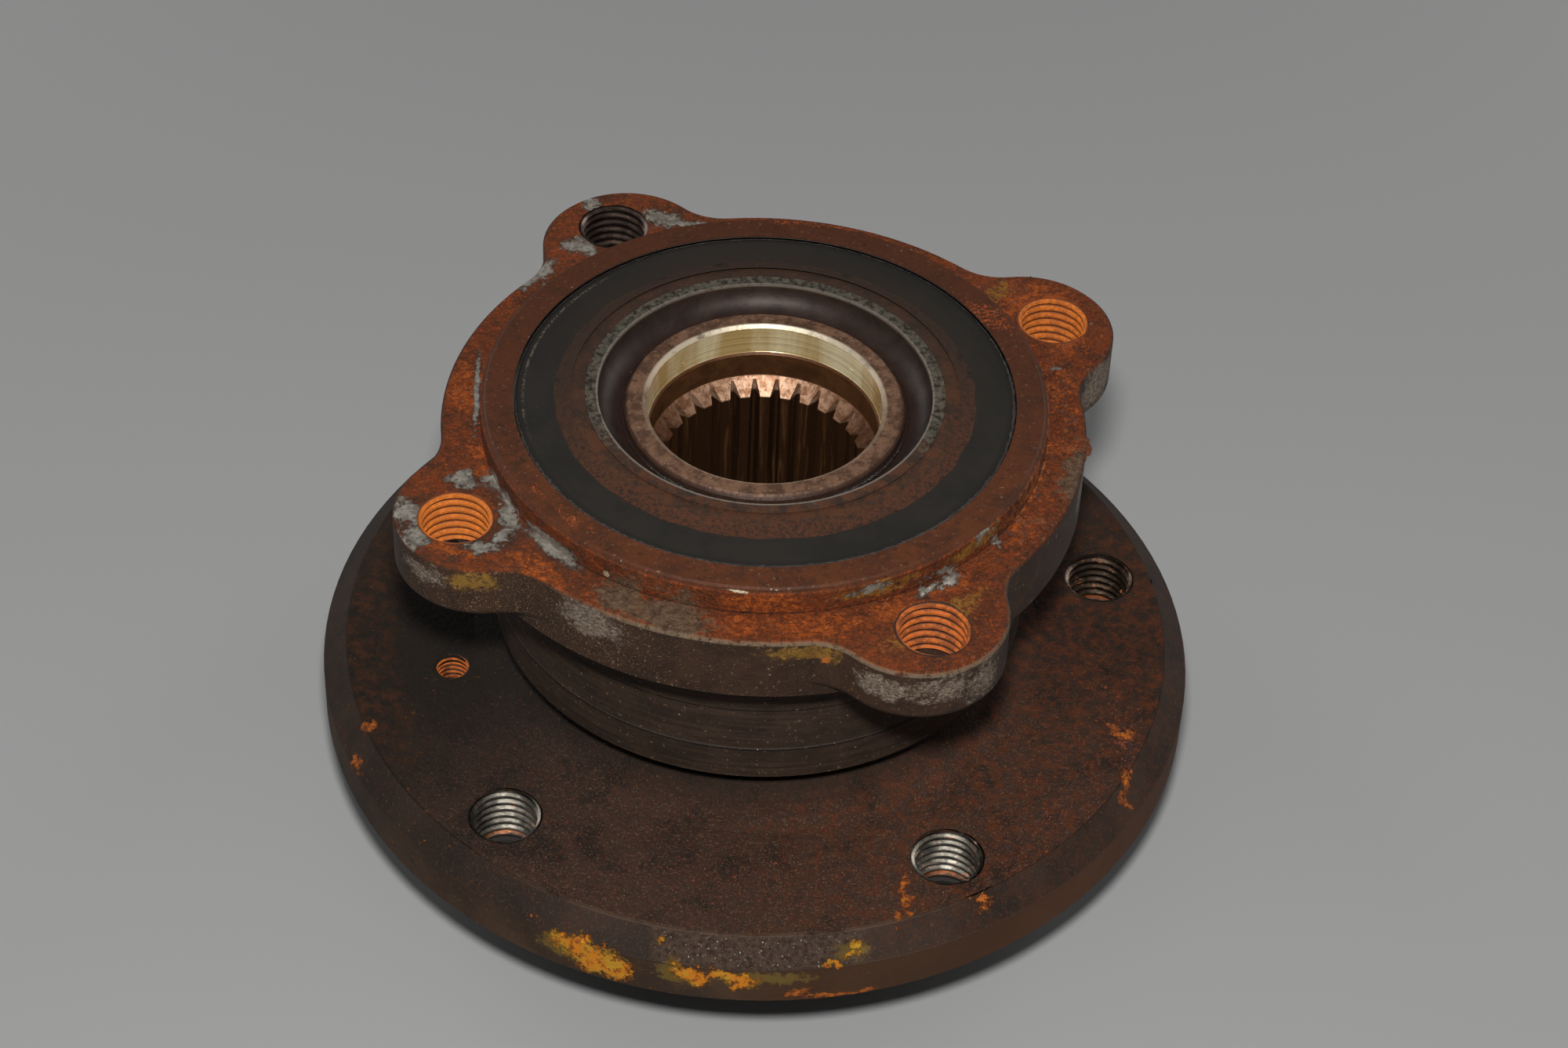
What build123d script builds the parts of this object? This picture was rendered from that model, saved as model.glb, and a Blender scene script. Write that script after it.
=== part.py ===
"""Driven wheel hub bearing unit: a splined hub with a wheel flange, turning on two rows of
balls inside a bolt-on outer ring with four threaded ears.

Frame: +Z is the turning axis and points inboard, to the drive shaft. The origin is the
centre of the wheel register's end face, on which the unit stands. All sizes are millimetres.
"""
import os
from math import atan2, cos, degrees, pi, radians, sin, sqrt

from build123d import *

# ---- heights along the axis, from the face that the unit stands on ----
REGISTER_HEIGHT = 20.0          # both wheel-side registers together
WHEEL_REGISTER_LENGTH = 12.5    # the part of it that centres the road wheel
FLANGE_THICKNESS = 12.1
OUTER_RING_GAP = 8.2            # flange back face to the outer ring's lower edge
OUTER_RING_LENGTH = 42.9
KNUCKLE_FLANGE_THICKNESS = 12.2
EAR_THICKNESS = 9.8
PILOT_HEIGHT = 4.7              # the register that enters the knuckle
INNER_RING_PROUD = 0.6          # inner ring's clamp face above the pilot's end
SLEEVE_RECESS = 2.4             # hub sleeve's end below the inner ring's clamp face

# ---- wheel flange ----
WHEEL_FLANGE_RADIUS = 72.6
FLANGE_BACK_CHAMFER = 4.1
FLANGE_FACE_CHAMFER = 1.0
WHEEL_REGISTER_RADIUS = 36.25
DISC_REGISTER_STEP = 1.25       # the disc's register stands out by this from the wheel's
REGISTER_CHAMFER = 1.2
FACE_RELIEF_RADIUS = 46.0       # shallow relief between the register and the wheel face
FACE_RELIEF_DEPTH = 0.6
ROOT_BOSS_INSIDE_RING = 4.2     # the boss's flat top, on which the seal's face lip rides
ROOT_BOSS_HEIGHT = 3.8
ROOT_STEP_WIDTH = 2.4           # the boss's sloping side
ROOT_STEP_HEIGHT = 1.4          # its foot above the flat back face
ROOT_CONE_WIDTH = 5.5           # gentle rise from the flat back face to that foot
ROOT_FILLET = 4.5
NUT_BORE_RADIUS = 26.5          # counterbore for the shaft nut
NUT_SEAT_DEPTH = 19.0
LUG_COUNT = 5
LUG_EDGE_DISTANCE = 12.6        # flange's rim to the circle of the threaded holes
LUG_START_ANGLE = 13.7
DISC_SCREW_CIRCLE_RADIUS = 51.7
DISC_SCREW_ANGLE = 194.5

# ---- threads ----
BOLT_THREAD_RADIUS = 6.0        # M12, in the wheel flange and in the ears
DISC_SCREW_THREAD_RADIUS = 3.0  # M6
LUG_MOUTH_CHAMFER = 0.4
EAR_MOUTH_CHAMFER = 0.3
DISC_SCREW_MOUTH_CHAMFER = 0.2

# ---- outer ring ----
RING_BODY_RADIUS = 43.8
RING_END_WALL = 3.8             # round the seal bores
RING_RELIEF_DEPTH = 0.15        # shallow turned band round the body
RING_RELIEF_BOTTOM = 7.0        # from the ring's lower edge
RING_RELIEF_TOP = 15.7
RING_EDGE_CHAMFER = 0.8
KNUCKLE_FLANGE_REACH = 7.7      # from the body's outside
PILOT_STEP = 1.4                # the register stands out by this from the body
PILOT_CHAMFER = 0.9
EAR_COUNT = 4
EAR_REACH = 10.2                # the body's outside to the circle of the threaded holes
EAR_START_ANGLE = 29.5
EAR_RADIUS = 14.1
EAR_OFFSET = 4.8                # the ear's round lies this far inside its hole's circle
EAR_WEB_FILLET = 9.0
EAR_TOP_CHAMFER = 0.6
EAR_BOTTOM_FILLET = 1.4

# ---- rolling elements and raceways ----
BALL_RADIUS = 6.35
BALL_PITCH = 14.9               # least arc from ball to ball round the pitch circle
PITCH_INSIDE_BODY = 10.4        # the ring body's outside to the pitch circle
OUTBOARD_ROW_ABOVE_RING_EDGE = 11.5
INBOARD_ROW_BELOW_SEAL = 0.45   # gap between the balls and the inboard seal's case
CONTACT_ANGLE = 36.0
GROOVE_CONFORMITY = 0.52        # raceway section's radius over the ball's diameter
BALL_CLEARANCE = 0.05
INNER_SHOULDER_DROP = 2.4       # shoulders, lands and cages lie this far from the pitch circle
OUTER_SHOULDER_RISE = 2.6
INNER_LAND_DROP = 6.0           # low land on the open side of each inner raceway
CAGE_INNER_DROP = 1.8
CAGE_OUTER_RISE = 1.9
CAGE_POCKET_CLEARANCE = 0.15
CAGE_FINGER_REACH = 2.6         # past the balls' centres
CAGE_GAP = 1.0                  # between the two cages' closed rims

# ---- hub sleeve and inner ring ----
INNER_RING_WALL = 4.9           # under its low land
SLEEVE_END_CHAMFER = 0.7
INNER_RING_LENGTH = 20.8
INNER_RING_MOUTH = 4.1          # radius of the hollow turned round its bore's mouth
CLAMP_BAND_WIDTH = 2.0
CLAMP_BAND_STEP = 0.3
CORNER_RELIEF = 0.8

# ---- splined bore ----
SLEEVE_WALL = 3.7               # round the shaft's pilot bore
SHAFT_PILOT_LENGTH = 4.9
SHAFT_RELIEF_STEP = 0.4         # pilot bore to the plain bore below it
SLEEVE_BORE_CHAMFER = 0.5
SPLINE_TEETH = 30
SPLINE_ROOT_STEP = 0.5          # plain bore to the tooth spaces' roots
SPLINE_TOOTH_HEIGHT = 2.1
SPLINE_SPACE_MOUTH = 1.74       # width of a tooth space at the minor radius
SPLINE_SPACE_ROOT = 0.5         # and at the major radius
SPLINE_END_BELOW_SLEEVE = 12.6

# ---- seals ----
SEAL_SEAT_DEPTH = 5.6
SEAL_CASE_WALL = 0.7
SEAL_LEG_WIDTH = 5.0
LIP_CLEARANCE = 0.05
SLINGER_WALL = 0.6
SLINGER_CLEARANCE = 0.4         # inside the case
ENCODER_THICKNESS = 1.0
ENCODER_BORE_STEP = 0.4         # its bore outside the inner ring's shoulder
ENCODER_CLEARANCE = 0.45        # inside the ring's seal bore
ENCODER_BELOW_PILOT = 0.3
OUTBOARD_LEG_INSET = 0.9        # ring's lower edge to the case's leg

# ---- radii that follow from the sizes above ----
DISC_REGISTER_RADIUS = WHEEL_REGISTER_RADIUS + DISC_REGISTER_STEP
LUG_CIRCLE_RADIUS = WHEEL_FLANGE_RADIUS - LUG_EDGE_DISTANCE
PILOT_RADIUS = RING_BODY_RADIUS + PILOT_STEP
KNUCKLE_FLANGE_RADIUS = RING_BODY_RADIUS + KNUCKLE_FLANGE_REACH
EAR_CIRCLE_RADIUS = RING_BODY_RADIUS + EAR_REACH
ROOT_BOSS_RADIUS = RING_BODY_RADIUS - ROOT_BOSS_INSIDE_RING
ROOT_STEP_RADIUS = ROOT_BOSS_RADIUS + ROOT_STEP_WIDTH
ROOT_CONE_RADIUS = ROOT_STEP_RADIUS + ROOT_CONE_WIDTH
SEAL_BORE_RADIUS = RING_BODY_RADIUS - RING_END_WALL
PITCH_RADIUS = RING_BODY_RADIUS - PITCH_INSIDE_BODY
BALLS_PER_ROW = int(2 * pi * PITCH_RADIUS / BALL_PITCH)
GROOVE_RADIUS = 2 * BALL_RADIUS * GROOVE_CONFORMITY
INNER_SHOULDER_RADIUS = PITCH_RADIUS - INNER_SHOULDER_DROP
OUTER_SHOULDER_RADIUS = PITCH_RADIUS + OUTER_SHOULDER_RISE
INNER_LAND_RADIUS = PITCH_RADIUS - INNER_LAND_DROP
CAGE_INNER_RADIUS = PITCH_RADIUS - CAGE_INNER_DROP
CAGE_OUTER_RADIUS = PITCH_RADIUS + CAGE_OUTER_RISE
SLEEVE_SEAT_RADIUS = INNER_LAND_RADIUS - INNER_RING_WALL
CLAMP_BAND_RADIUS = SLEEVE_SEAT_RADIUS + INNER_RING_MOUTH + CLAMP_BAND_WIDTH
SHAFT_PILOT_RADIUS = SLEEVE_SEAT_RADIUS - SLEEVE_WALL
SHAFT_RELIEF_RADIUS = SHAFT_PILOT_RADIUS - SHAFT_RELIEF_STEP
SPLINE_MAJOR_RADIUS = SHAFT_RELIEF_RADIUS - SPLINE_ROOT_STEP
SPLINE_MINOR_RADIUS = SPLINE_MAJOR_RADIUS - SPLINE_TOOTH_HEIGHT
SEAL_LEG_INNER_RADIUS = SEAL_BORE_RADIUS - SEAL_LEG_WIDTH
SLINGER_RADIUS = SEAL_BORE_RADIUS - SEAL_CASE_WALL - SLINGER_CLEARANCE
ENCODER_INNER_RADIUS = INNER_SHOULDER_RADIUS + ENCODER_BORE_STEP
ENCODER_OUTER_RADIUS = SEAL_BORE_RADIUS - ENCODER_CLEARANCE

# ---- heights that follow ----
BACK_FACE_Z = REGISTER_HEIGHT + FLANGE_THICKNESS
BOSS_Z = BACK_FACE_Z + ROOT_BOSS_HEIGHT
RING_BOTTOM_Z = BACK_FACE_Z + OUTER_RING_GAP
PILOT_TOP_Z = RING_BOTTOM_Z + OUTER_RING_LENGTH
KNUCKLE_FACE_Z = PILOT_TOP_Z - PILOT_HEIGHT
KNUCKLE_BACK_Z = KNUCKLE_FACE_Z - KNUCKLE_FLANGE_THICKNESS
CLAMP_FACE_Z = PILOT_TOP_Z + INNER_RING_PROUD
SLEEVE_END_Z = CLAMP_FACE_Z - SLEEVE_RECESS
INNER_RING_BOTTOM_Z = CLAMP_FACE_Z - INNER_RING_LENGTH
OUTBOARD_ROW_Z = RING_BOTTOM_Z + OUTBOARD_ROW_ABOVE_RING_EDGE
INBOARD_LEG_Z = PILOT_TOP_Z - SEAL_SEAT_DEPTH
INBOARD_ROW_Z = INBOARD_LEG_Z - INBOARD_ROW_BELOW_SEAL - BALL_RADIUS
ROW_SPACING = INBOARD_ROW_Z - OUTBOARD_ROW_Z
SPLINE_TOP_Z = SLEEVE_END_Z - SPLINE_END_BELOW_SLEEVE
PILOT_BORE_BOTTOM_Z = SLEEVE_END_Z - SLEEVE_BORE_CHAMFER - SHAFT_PILOT_LENGTH
ENCODER_TOP_Z = PILOT_TOP_Z - ENCODER_BELOW_PILOT
ENCODER_BOTTOM_Z = ENCODER_TOP_Z - ENCODER_THICKNESS
SLINGER_BOTTOM_Z = ENCODER_BOTTOM_Z - SLINGER_WALL

# A raceway's section is an arc. Its centre lies past the ball's centre, on the contact line,
# so that the ball clears the arc by BALL_CLEARANCE at the contact angle.
GROOVE_SHIFT = GROOVE_RADIUS - BALL_RADIUS - BALL_CLEARANCE
GROOVE_SHIFT_R = GROOVE_SHIFT * cos(radians(CONTACT_ANGLE))
GROOVE_SHIFT_Z = GROOVE_SHIFT * sin(radians(CONTACT_ANGLE))
OUTER_GROOVE_RADIUS = PITCH_RADIUS - GROOVE_SHIFT_R
INNER_GROOVE_RADIUS = PITCH_RADIUS + GROOVE_SHIFT_R
GROOVE_BOTTOM_RADIUS = OUTER_GROOVE_RADIUS + GROOVE_RADIUS


def turned(points):
    """A solid turned about Z from its (radius, height) section."""
    section = make_face(Polyline(*[(r, 0, z) for r, z in points], close=True))
    return revolve(section, Axis.Z, 360)


def raceway_tool(centre_radius, height):
    """The ring of tube GROOVE_RADIUS that cuts a raceway."""
    return Pos(0, 0, height) * Torus(centre_radius, GROOVE_RADIUS)


def threaded_hole_tool(radius, bottom, top, mouth_chamfer):
    """A through hole at a thread's major radius, chamfered at both mouths."""
    mouth = radius + mouth_chamfer
    section = [
        (0, bottom - 1),
        (mouth + 1, bottom - 1),
        (radius, bottom + mouth_chamfer),
        (radius, top - mouth_chamfer),
        (mouth + 1, top + 1),
        (0, top + 1),
    ]
    return turned(section)


def on_circle(radius, count, start_angle):
    """Places spread evenly on a circle about Z."""
    return [
        Rot(0, 0, start_angle + i * 360 / count) * Pos(radius, 0, 0)
        for i in range(count)
    ]


def ball_places(row_height):
    """The balls' centres in one row, as places on the pitch circle."""
    return [Pos(0, 0, row_height) * spot for spot in on_circle(PITCH_RADIUS, BALLS_PER_ROW, 0)]


def hub_blank():
    """The hub turned all over, before its holes, raceway and splines."""
    spline_height = SPLINE_MAJOR_RADIUS - SPLINE_MINOR_RADIUS
    relief_rise = SHAFT_RELIEF_RADIUS - SPLINE_MINOR_RADIUS
    bore_step = SHAFT_PILOT_RADIUS - SHAFT_RELIEF_RADIUS
    outside = [
        (WHEEL_REGISTER_RADIUS - REGISTER_CHAMFER, 0),
        (WHEEL_REGISTER_RADIUS, REGISTER_CHAMFER),
        (WHEEL_REGISTER_RADIUS, WHEEL_REGISTER_LENGTH),
        (DISC_REGISTER_RADIUS, WHEEL_REGISTER_LENGTH + DISC_REGISTER_RADIUS - WHEEL_REGISTER_RADIUS),
        (DISC_REGISTER_RADIUS, REGISTER_HEIGHT + FACE_RELIEF_DEPTH),
        (FACE_RELIEF_RADIUS - FACE_RELIEF_DEPTH, REGISTER_HEIGHT + FACE_RELIEF_DEPTH),
        (FACE_RELIEF_RADIUS, REGISTER_HEIGHT),
        (WHEEL_FLANGE_RADIUS - FLANGE_FACE_CHAMFER, REGISTER_HEIGHT),
        (WHEEL_FLANGE_RADIUS, REGISTER_HEIGHT + FLANGE_FACE_CHAMFER),
        (WHEEL_FLANGE_RADIUS, BACK_FACE_Z - FLANGE_BACK_CHAMFER),
        (WHEEL_FLANGE_RADIUS - FLANGE_BACK_CHAMFER, BACK_FACE_Z),
        (ROOT_CONE_RADIUS, BACK_FACE_Z),
        (ROOT_STEP_RADIUS, BACK_FACE_Z + ROOT_STEP_HEIGHT),
        (ROOT_BOSS_RADIUS, BOSS_Z),
        (INNER_SHOULDER_RADIUS + ROOT_FILLET, BOSS_Z),
    ]
    above_root = [
        (INNER_SHOULDER_RADIUS, OUTBOARD_ROW_Z),
        (INNER_LAND_RADIUS, OUTBOARD_ROW_Z),
        (INNER_LAND_RADIUS, INNER_RING_BOTTOM_Z),
        (SLEEVE_SEAT_RADIUS, INNER_RING_BOTTOM_Z),
        (SLEEVE_SEAT_RADIUS, SLEEVE_END_Z - SLEEVE_END_CHAMFER),
        (SLEEVE_SEAT_RADIUS - SLEEVE_END_CHAMFER, SLEEVE_END_Z),
        (SHAFT_PILOT_RADIUS + SLEEVE_BORE_CHAMFER, SLEEVE_END_Z),
        (SHAFT_PILOT_RADIUS, SLEEVE_END_Z - SLEEVE_BORE_CHAMFER),
        (SHAFT_PILOT_RADIUS, PILOT_BORE_BOTTOM_Z),
        (SHAFT_RELIEF_RADIUS, PILOT_BORE_BOTTOM_Z - bore_step),
        (SHAFT_RELIEF_RADIUS, SPLINE_TOP_Z + relief_rise),
        (SPLINE_MINOR_RADIUS, SPLINE_TOP_Z),
        (SPLINE_MINOR_RADIUS, NUT_SEAT_DEPTH + spline_height),
        (SPLINE_MAJOR_RADIUS, NUT_SEAT_DEPTH),
        (NUT_BORE_RADIUS, NUT_SEAT_DEPTH),
        (NUT_BORE_RADIUS, REGISTER_CHAMFER),
        (NUT_BORE_RADIUS + REGISTER_CHAMFER, 0),
    ]
    root_start = (INNER_SHOULDER_RADIUS + ROOT_FILLET, 0, BOSS_Z)
    root_end = (INNER_SHOULDER_RADIUS, 0, BOSS_Z + ROOT_FILLET)
    fillet_centre = (INNER_SHOULDER_RADIUS + ROOT_FILLET, BOSS_Z + ROOT_FILLET)
    root_middle = (
        fillet_centre[0] - ROOT_FILLET * cos(radians(45)),
        0,
        fillet_centre[1] - ROOT_FILLET * sin(radians(45)),
    )
    edges = Polyline(*[(r, 0, z) for r, z in outside]).edges()
    edges += ThreePointArc(root_start, root_middle, root_end).edges()
    rest = [root_end] + [(r, 0, z) for r, z in above_root] + [(outside[0][0], 0, outside[0][1])]
    edges += Polyline(*rest).edges()
    return revolve(make_face(edges), Axis.Z, 360)


def spline_space_tool():
    """One tooth space of the internal spline, cut along the whole bore."""
    slope = (SPLINE_SPACE_MOUTH - SPLINE_SPACE_ROOT) / (SPLINE_MAJOR_RADIUS - SPLINE_MINOR_RADIUS)
    inner_radius = SPLINE_MINOR_RADIUS - 1.0
    inner_half = (SPLINE_SPACE_MOUTH + slope) / 2
    root_half = SPLINE_SPACE_ROOT / 2
    outline = Polyline(
        (inner_radius, -inner_half),
        (SPLINE_MAJOR_RADIUS, -root_half),
        (SPLINE_MAJOR_RADIUS, root_half),
        (inner_radius, inner_half),
        close=True,
    )
    height = SPLINE_TOP_Z + SHAFT_RELIEF_RADIUS - SPLINE_MINOR_RADIUS - NUT_SEAT_DEPTH
    return Pos(0, 0, NUT_SEAT_DEPTH) * extrude(make_face(outline), height)


def corner_relief_tool():
    """The undercut at the foot of the inner ring's seat."""
    return turned([
        (SLEEVE_SEAT_RADIUS - CORNER_RELIEF / 2, INNER_RING_BOTTOM_Z - CORNER_RELIEF / 2),
        (SLEEVE_SEAT_RADIUS + CORNER_RELIEF, INNER_RING_BOTTOM_Z - CORNER_RELIEF / 2),
        (SLEEVE_SEAT_RADIUS + CORNER_RELIEF, INNER_RING_BOTTOM_Z),
        (SLEEVE_SEAT_RADIUS, INNER_RING_BOTTOM_Z + CORNER_RELIEF),
        (SLEEVE_SEAT_RADIUS - CORNER_RELIEF / 2, INNER_RING_BOTTOM_Z + CORNER_RELIEF),
    ])


def wheel_hub():
    hub = hub_blank()
    hub -= raceway_tool(INNER_GROOVE_RADIUS, OUTBOARD_ROW_Z + GROOVE_SHIFT_Z)
    hub -= corner_relief_tool()
    space = spline_space_tool()
    hub -= [Rot(0, 0, i * 360 / SPLINE_TEETH) * space for i in range(SPLINE_TEETH)]
    lug = threaded_hole_tool(BOLT_THREAD_RADIUS, REGISTER_HEIGHT, BACK_FACE_Z, LUG_MOUTH_CHAMFER)
    hub -= [place * lug for place in on_circle(LUG_CIRCLE_RADIUS, LUG_COUNT, LUG_START_ANGLE)]
    screw_place = on_circle(DISC_SCREW_CIRCLE_RADIUS, 1, DISC_SCREW_ANGLE)[0]
    screw = threaded_hole_tool(
        DISC_SCREW_THREAD_RADIUS, REGISTER_HEIGHT, BACK_FACE_Z, DISC_SCREW_MOUTH_CHAMFER
    )
    hub -= screw_place * screw
    return hub


def inner_ring():
    """The separate inboard inner ring, pressed on the hub's sleeve."""
    ring = turned([
        (SLEEVE_SEAT_RADIUS, INNER_RING_BOTTOM_Z + CORNER_RELIEF),
        (SLEEVE_SEAT_RADIUS + CORNER_RELIEF, INNER_RING_BOTTOM_Z),
        (INNER_LAND_RADIUS, INNER_RING_BOTTOM_Z),
        (INNER_LAND_RADIUS, INBOARD_ROW_Z),
        (INNER_SHOULDER_RADIUS, INBOARD_ROW_Z),
        (INNER_SHOULDER_RADIUS, CLAMP_FACE_Z - CLAMP_BAND_STEP),
        (CLAMP_BAND_RADIUS, CLAMP_FACE_Z - CLAMP_BAND_STEP),
        (CLAMP_BAND_RADIUS, CLAMP_FACE_Z),
        (SLEEVE_SEAT_RADIUS, CLAMP_FACE_Z),
    ])
    ring -= Pos(0, 0, CLAMP_FACE_Z) * Torus(SLEEVE_SEAT_RADIUS, INNER_RING_MOUTH)
    return ring - raceway_tool(INNER_GROOVE_RADIUS, INBOARD_ROW_Z - GROOVE_SHIFT_Z)


def ear_outline():
    """The knuckle flange's plan: a disc with ears, blended by concave webs."""
    ear_centre = EAR_CIRCLE_RADIUS - EAR_OFFSET
    rounds = [
        place * Circle(EAR_RADIUS)
        for place in on_circle(ear_centre, EAR_COUNT, EAR_START_ANGLE)
    ]
    outline = Circle(KNUCKLE_FLANGE_RADIUS) + rounds
    corner_r = KNUCKLE_FLANGE_RADIUS
    corner_x = (corner_r**2 + ear_centre**2 - EAR_RADIUS**2) / (2 * ear_centre)
    spread = degrees(atan2(sqrt(corner_r**2 - corner_x**2), corner_x))
    corners = []
    for i in range(EAR_COUNT):
        for side in (-spread, spread):
            angle = radians(EAR_START_ANGLE + i * 360 / EAR_COUNT + side)
            spot = Vector(corner_r * cos(angle), corner_r * sin(angle), 0)
            corners.append(min(outline.vertices(), key=lambda v: (Vector(*v) - spot).length))
    return fillet(corners, EAR_WEB_FILLET)


def outer_ring_body():
    """The outer ring turned all over, without its ears and raceways."""
    relief_low = RING_BOTTOM_Z + RING_RELIEF_BOTTOM
    relief_high = RING_BOTTOM_Z + RING_RELIEF_TOP
    return turned([
        (SEAL_BORE_RADIUS, RING_BOTTOM_Z),
        (RING_BODY_RADIUS - RING_EDGE_CHAMFER, RING_BOTTOM_Z),
        (RING_BODY_RADIUS, RING_BOTTOM_Z + RING_EDGE_CHAMFER),
        (RING_BODY_RADIUS, relief_low),
        (RING_BODY_RADIUS - RING_RELIEF_DEPTH, relief_low + RING_RELIEF_DEPTH),
        (RING_BODY_RADIUS - RING_RELIEF_DEPTH, relief_high - RING_RELIEF_DEPTH),
        (RING_BODY_RADIUS, relief_high),
        (RING_BODY_RADIUS, KNUCKLE_BACK_Z),
        (KNUCKLE_FLANGE_RADIUS - RING_EDGE_CHAMFER, KNUCKLE_BACK_Z),
        (KNUCKLE_FLANGE_RADIUS, KNUCKLE_BACK_Z + RING_EDGE_CHAMFER),
        (KNUCKLE_FLANGE_RADIUS, KNUCKLE_FACE_Z - EAR_TOP_CHAMFER),
        (KNUCKLE_FLANGE_RADIUS - EAR_TOP_CHAMFER, KNUCKLE_FACE_Z),
        (PILOT_RADIUS, KNUCKLE_FACE_Z),
        (PILOT_RADIUS, PILOT_TOP_Z - PILOT_CHAMFER),
        (PILOT_RADIUS - PILOT_CHAMFER, PILOT_TOP_Z),
        (SEAL_BORE_RADIUS, PILOT_TOP_Z),
        (SEAL_BORE_RADIUS, PILOT_TOP_Z - SEAL_SEAT_DEPTH),
        (GROOVE_BOTTOM_RADIUS, PILOT_TOP_Z - SEAL_SEAT_DEPTH),
        (GROOVE_BOTTOM_RADIUS, INBOARD_ROW_Z + GROOVE_SHIFT_Z),
        (OUTER_SHOULDER_RADIUS, INBOARD_ROW_Z + GROOVE_SHIFT_Z),
        (OUTER_SHOULDER_RADIUS, OUTBOARD_ROW_Z - GROOVE_SHIFT_Z),
        (GROOVE_BOTTOM_RADIUS, OUTBOARD_ROW_Z - GROOVE_SHIFT_Z),
        (GROOVE_BOTTOM_RADIUS, RING_BOTTOM_Z + SEAL_SEAT_DEPTH),
        (SEAL_BORE_RADIUS, RING_BOTTOM_Z + SEAL_SEAT_DEPTH),
    ])


def ears():
    """The flange's ears with their webs, rounded below and chamfered above."""
    bottom = KNUCKLE_FACE_Z - EAR_THICKNESS
    plate = Pos(0, 0, bottom) * extrude(ear_outline(), EAR_THICKNESS)
    plate = fillet(plate.faces().sort_by(Axis.Z)[0].edges(), EAR_BOTTOM_FILLET)
    plate = chamfer(plate.faces().sort_by(Axis.Z)[-1].edges(), EAR_TOP_CHAMFER)
    return plate - Pos(0, 0, bottom) * Cylinder(
        RING_BODY_RADIUS, EAR_THICKNESS, align=(Align.CENTER, Align.CENTER, Align.MIN)
    )


def outer_ring():
    ring = outer_ring_body() + ears()
    ring -= raceway_tool(OUTER_GROOVE_RADIUS, OUTBOARD_ROW_Z - GROOVE_SHIFT_Z)
    ring -= raceway_tool(OUTER_GROOVE_RADIUS, INBOARD_ROW_Z + GROOVE_SHIFT_Z)
    hole = threaded_hole_tool(BOLT_THREAD_RADIUS, KNUCKLE_BACK_Z, KNUCKLE_FACE_Z, EAR_MOUTH_CHAMFER)
    ring -= [place * hole for place in on_circle(EAR_CIRCLE_RADIUS, EAR_COUNT, EAR_START_ANGLE)]
    return ring


def cage(row_height, base_side):
    """A snap-in crown cage. base_side is +1 where its closed rim lies above the balls."""
    pocket_radius = BALL_RADIUS + CAGE_POCKET_CLEARANCE
    finger_end = row_height - base_side * CAGE_FINGER_REACH
    base_end = row_height + base_side * (ROW_SPACING - CAGE_GAP) / 2
    crown = turned([
        (CAGE_INNER_RADIUS, finger_end),
        (CAGE_OUTER_RADIUS, finger_end),
        (CAGE_OUTER_RADIUS, base_end),
        (CAGE_INNER_RADIUS, base_end),
    ])
    return crown - [place * Sphere(pocket_radius) for place in ball_places(row_height)]


def inboard_seal_case():
    """Steel case of the cassette seal, pressed in the outer ring's seal bore."""
    leg = INBOARD_LEG_Z
    rim = SLINGER_BOTTOM_Z + SLINGER_WALL / 2
    return turned([
        (SEAL_LEG_INNER_RADIUS, leg),
        (SEAL_BORE_RADIUS, leg),
        (SEAL_BORE_RADIUS, rim),
        (SEAL_BORE_RADIUS - SEAL_CASE_WALL, rim),
        (SEAL_BORE_RADIUS - SEAL_CASE_WALL, leg + SEAL_CASE_WALL),
        (SEAL_LEG_INNER_RADIUS, leg + SEAL_CASE_WALL),
    ])


def inboard_seal_lips():
    """Rubber on the case's leg: one lip rides on the slinger's sleeve, one on its disc."""
    leg = INBOARD_LEG_Z
    top = leg + SEAL_CASE_WALL
    sleeve = INNER_SHOULDER_RADIUS + SLINGER_WALL + LIP_CLEARANCE
    disc = SLINGER_BOTTOM_Z - LIP_CLEARANCE
    edge = SEAL_LEG_INNER_RADIUS
    return turned([
        (edge, leg),
        (edge, top),
        (edge + 1.5, top),
        (edge + 2.3, disc),
        (edge + 1.9, disc),
        (edge + 0.6, top + 0.6),
        (edge - 1.0, top + 0.6),
        (sleeve, top + 1.5),
        (sleeve, top + 1.0),
        (edge - 2.0, leg),
    ])


def inboard_slinger():
    """Steel slinger pressed on the inner ring. Its disc carries the encoder."""
    bottom = INBOARD_LEG_Z + SEAL_CASE_WALL
    return turned([
        (INNER_SHOULDER_RADIUS, bottom),
        (INNER_SHOULDER_RADIUS + SLINGER_WALL, bottom),
        (INNER_SHOULDER_RADIUS + SLINGER_WALL, SLINGER_BOTTOM_Z),
        (SLINGER_RADIUS, SLINGER_BOTTOM_Z),
        (SLINGER_RADIUS, ENCODER_BOTTOM_Z),
        (INNER_SHOULDER_RADIUS, ENCODER_BOTTOM_Z),
    ])


def magnetic_encoder():
    """Magnetised rubber ring that the wheel speed sensor reads."""
    edge = 0.25
    return turned([
        (ENCODER_INNER_RADIUS, ENCODER_BOTTOM_Z),
        (ENCODER_OUTER_RADIUS, ENCODER_BOTTOM_Z),
        (ENCODER_OUTER_RADIUS, ENCODER_TOP_Z - edge),
        (ENCODER_OUTER_RADIUS - edge, ENCODER_TOP_Z),
        (ENCODER_INNER_RADIUS, ENCODER_TOP_Z),
    ])


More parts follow.
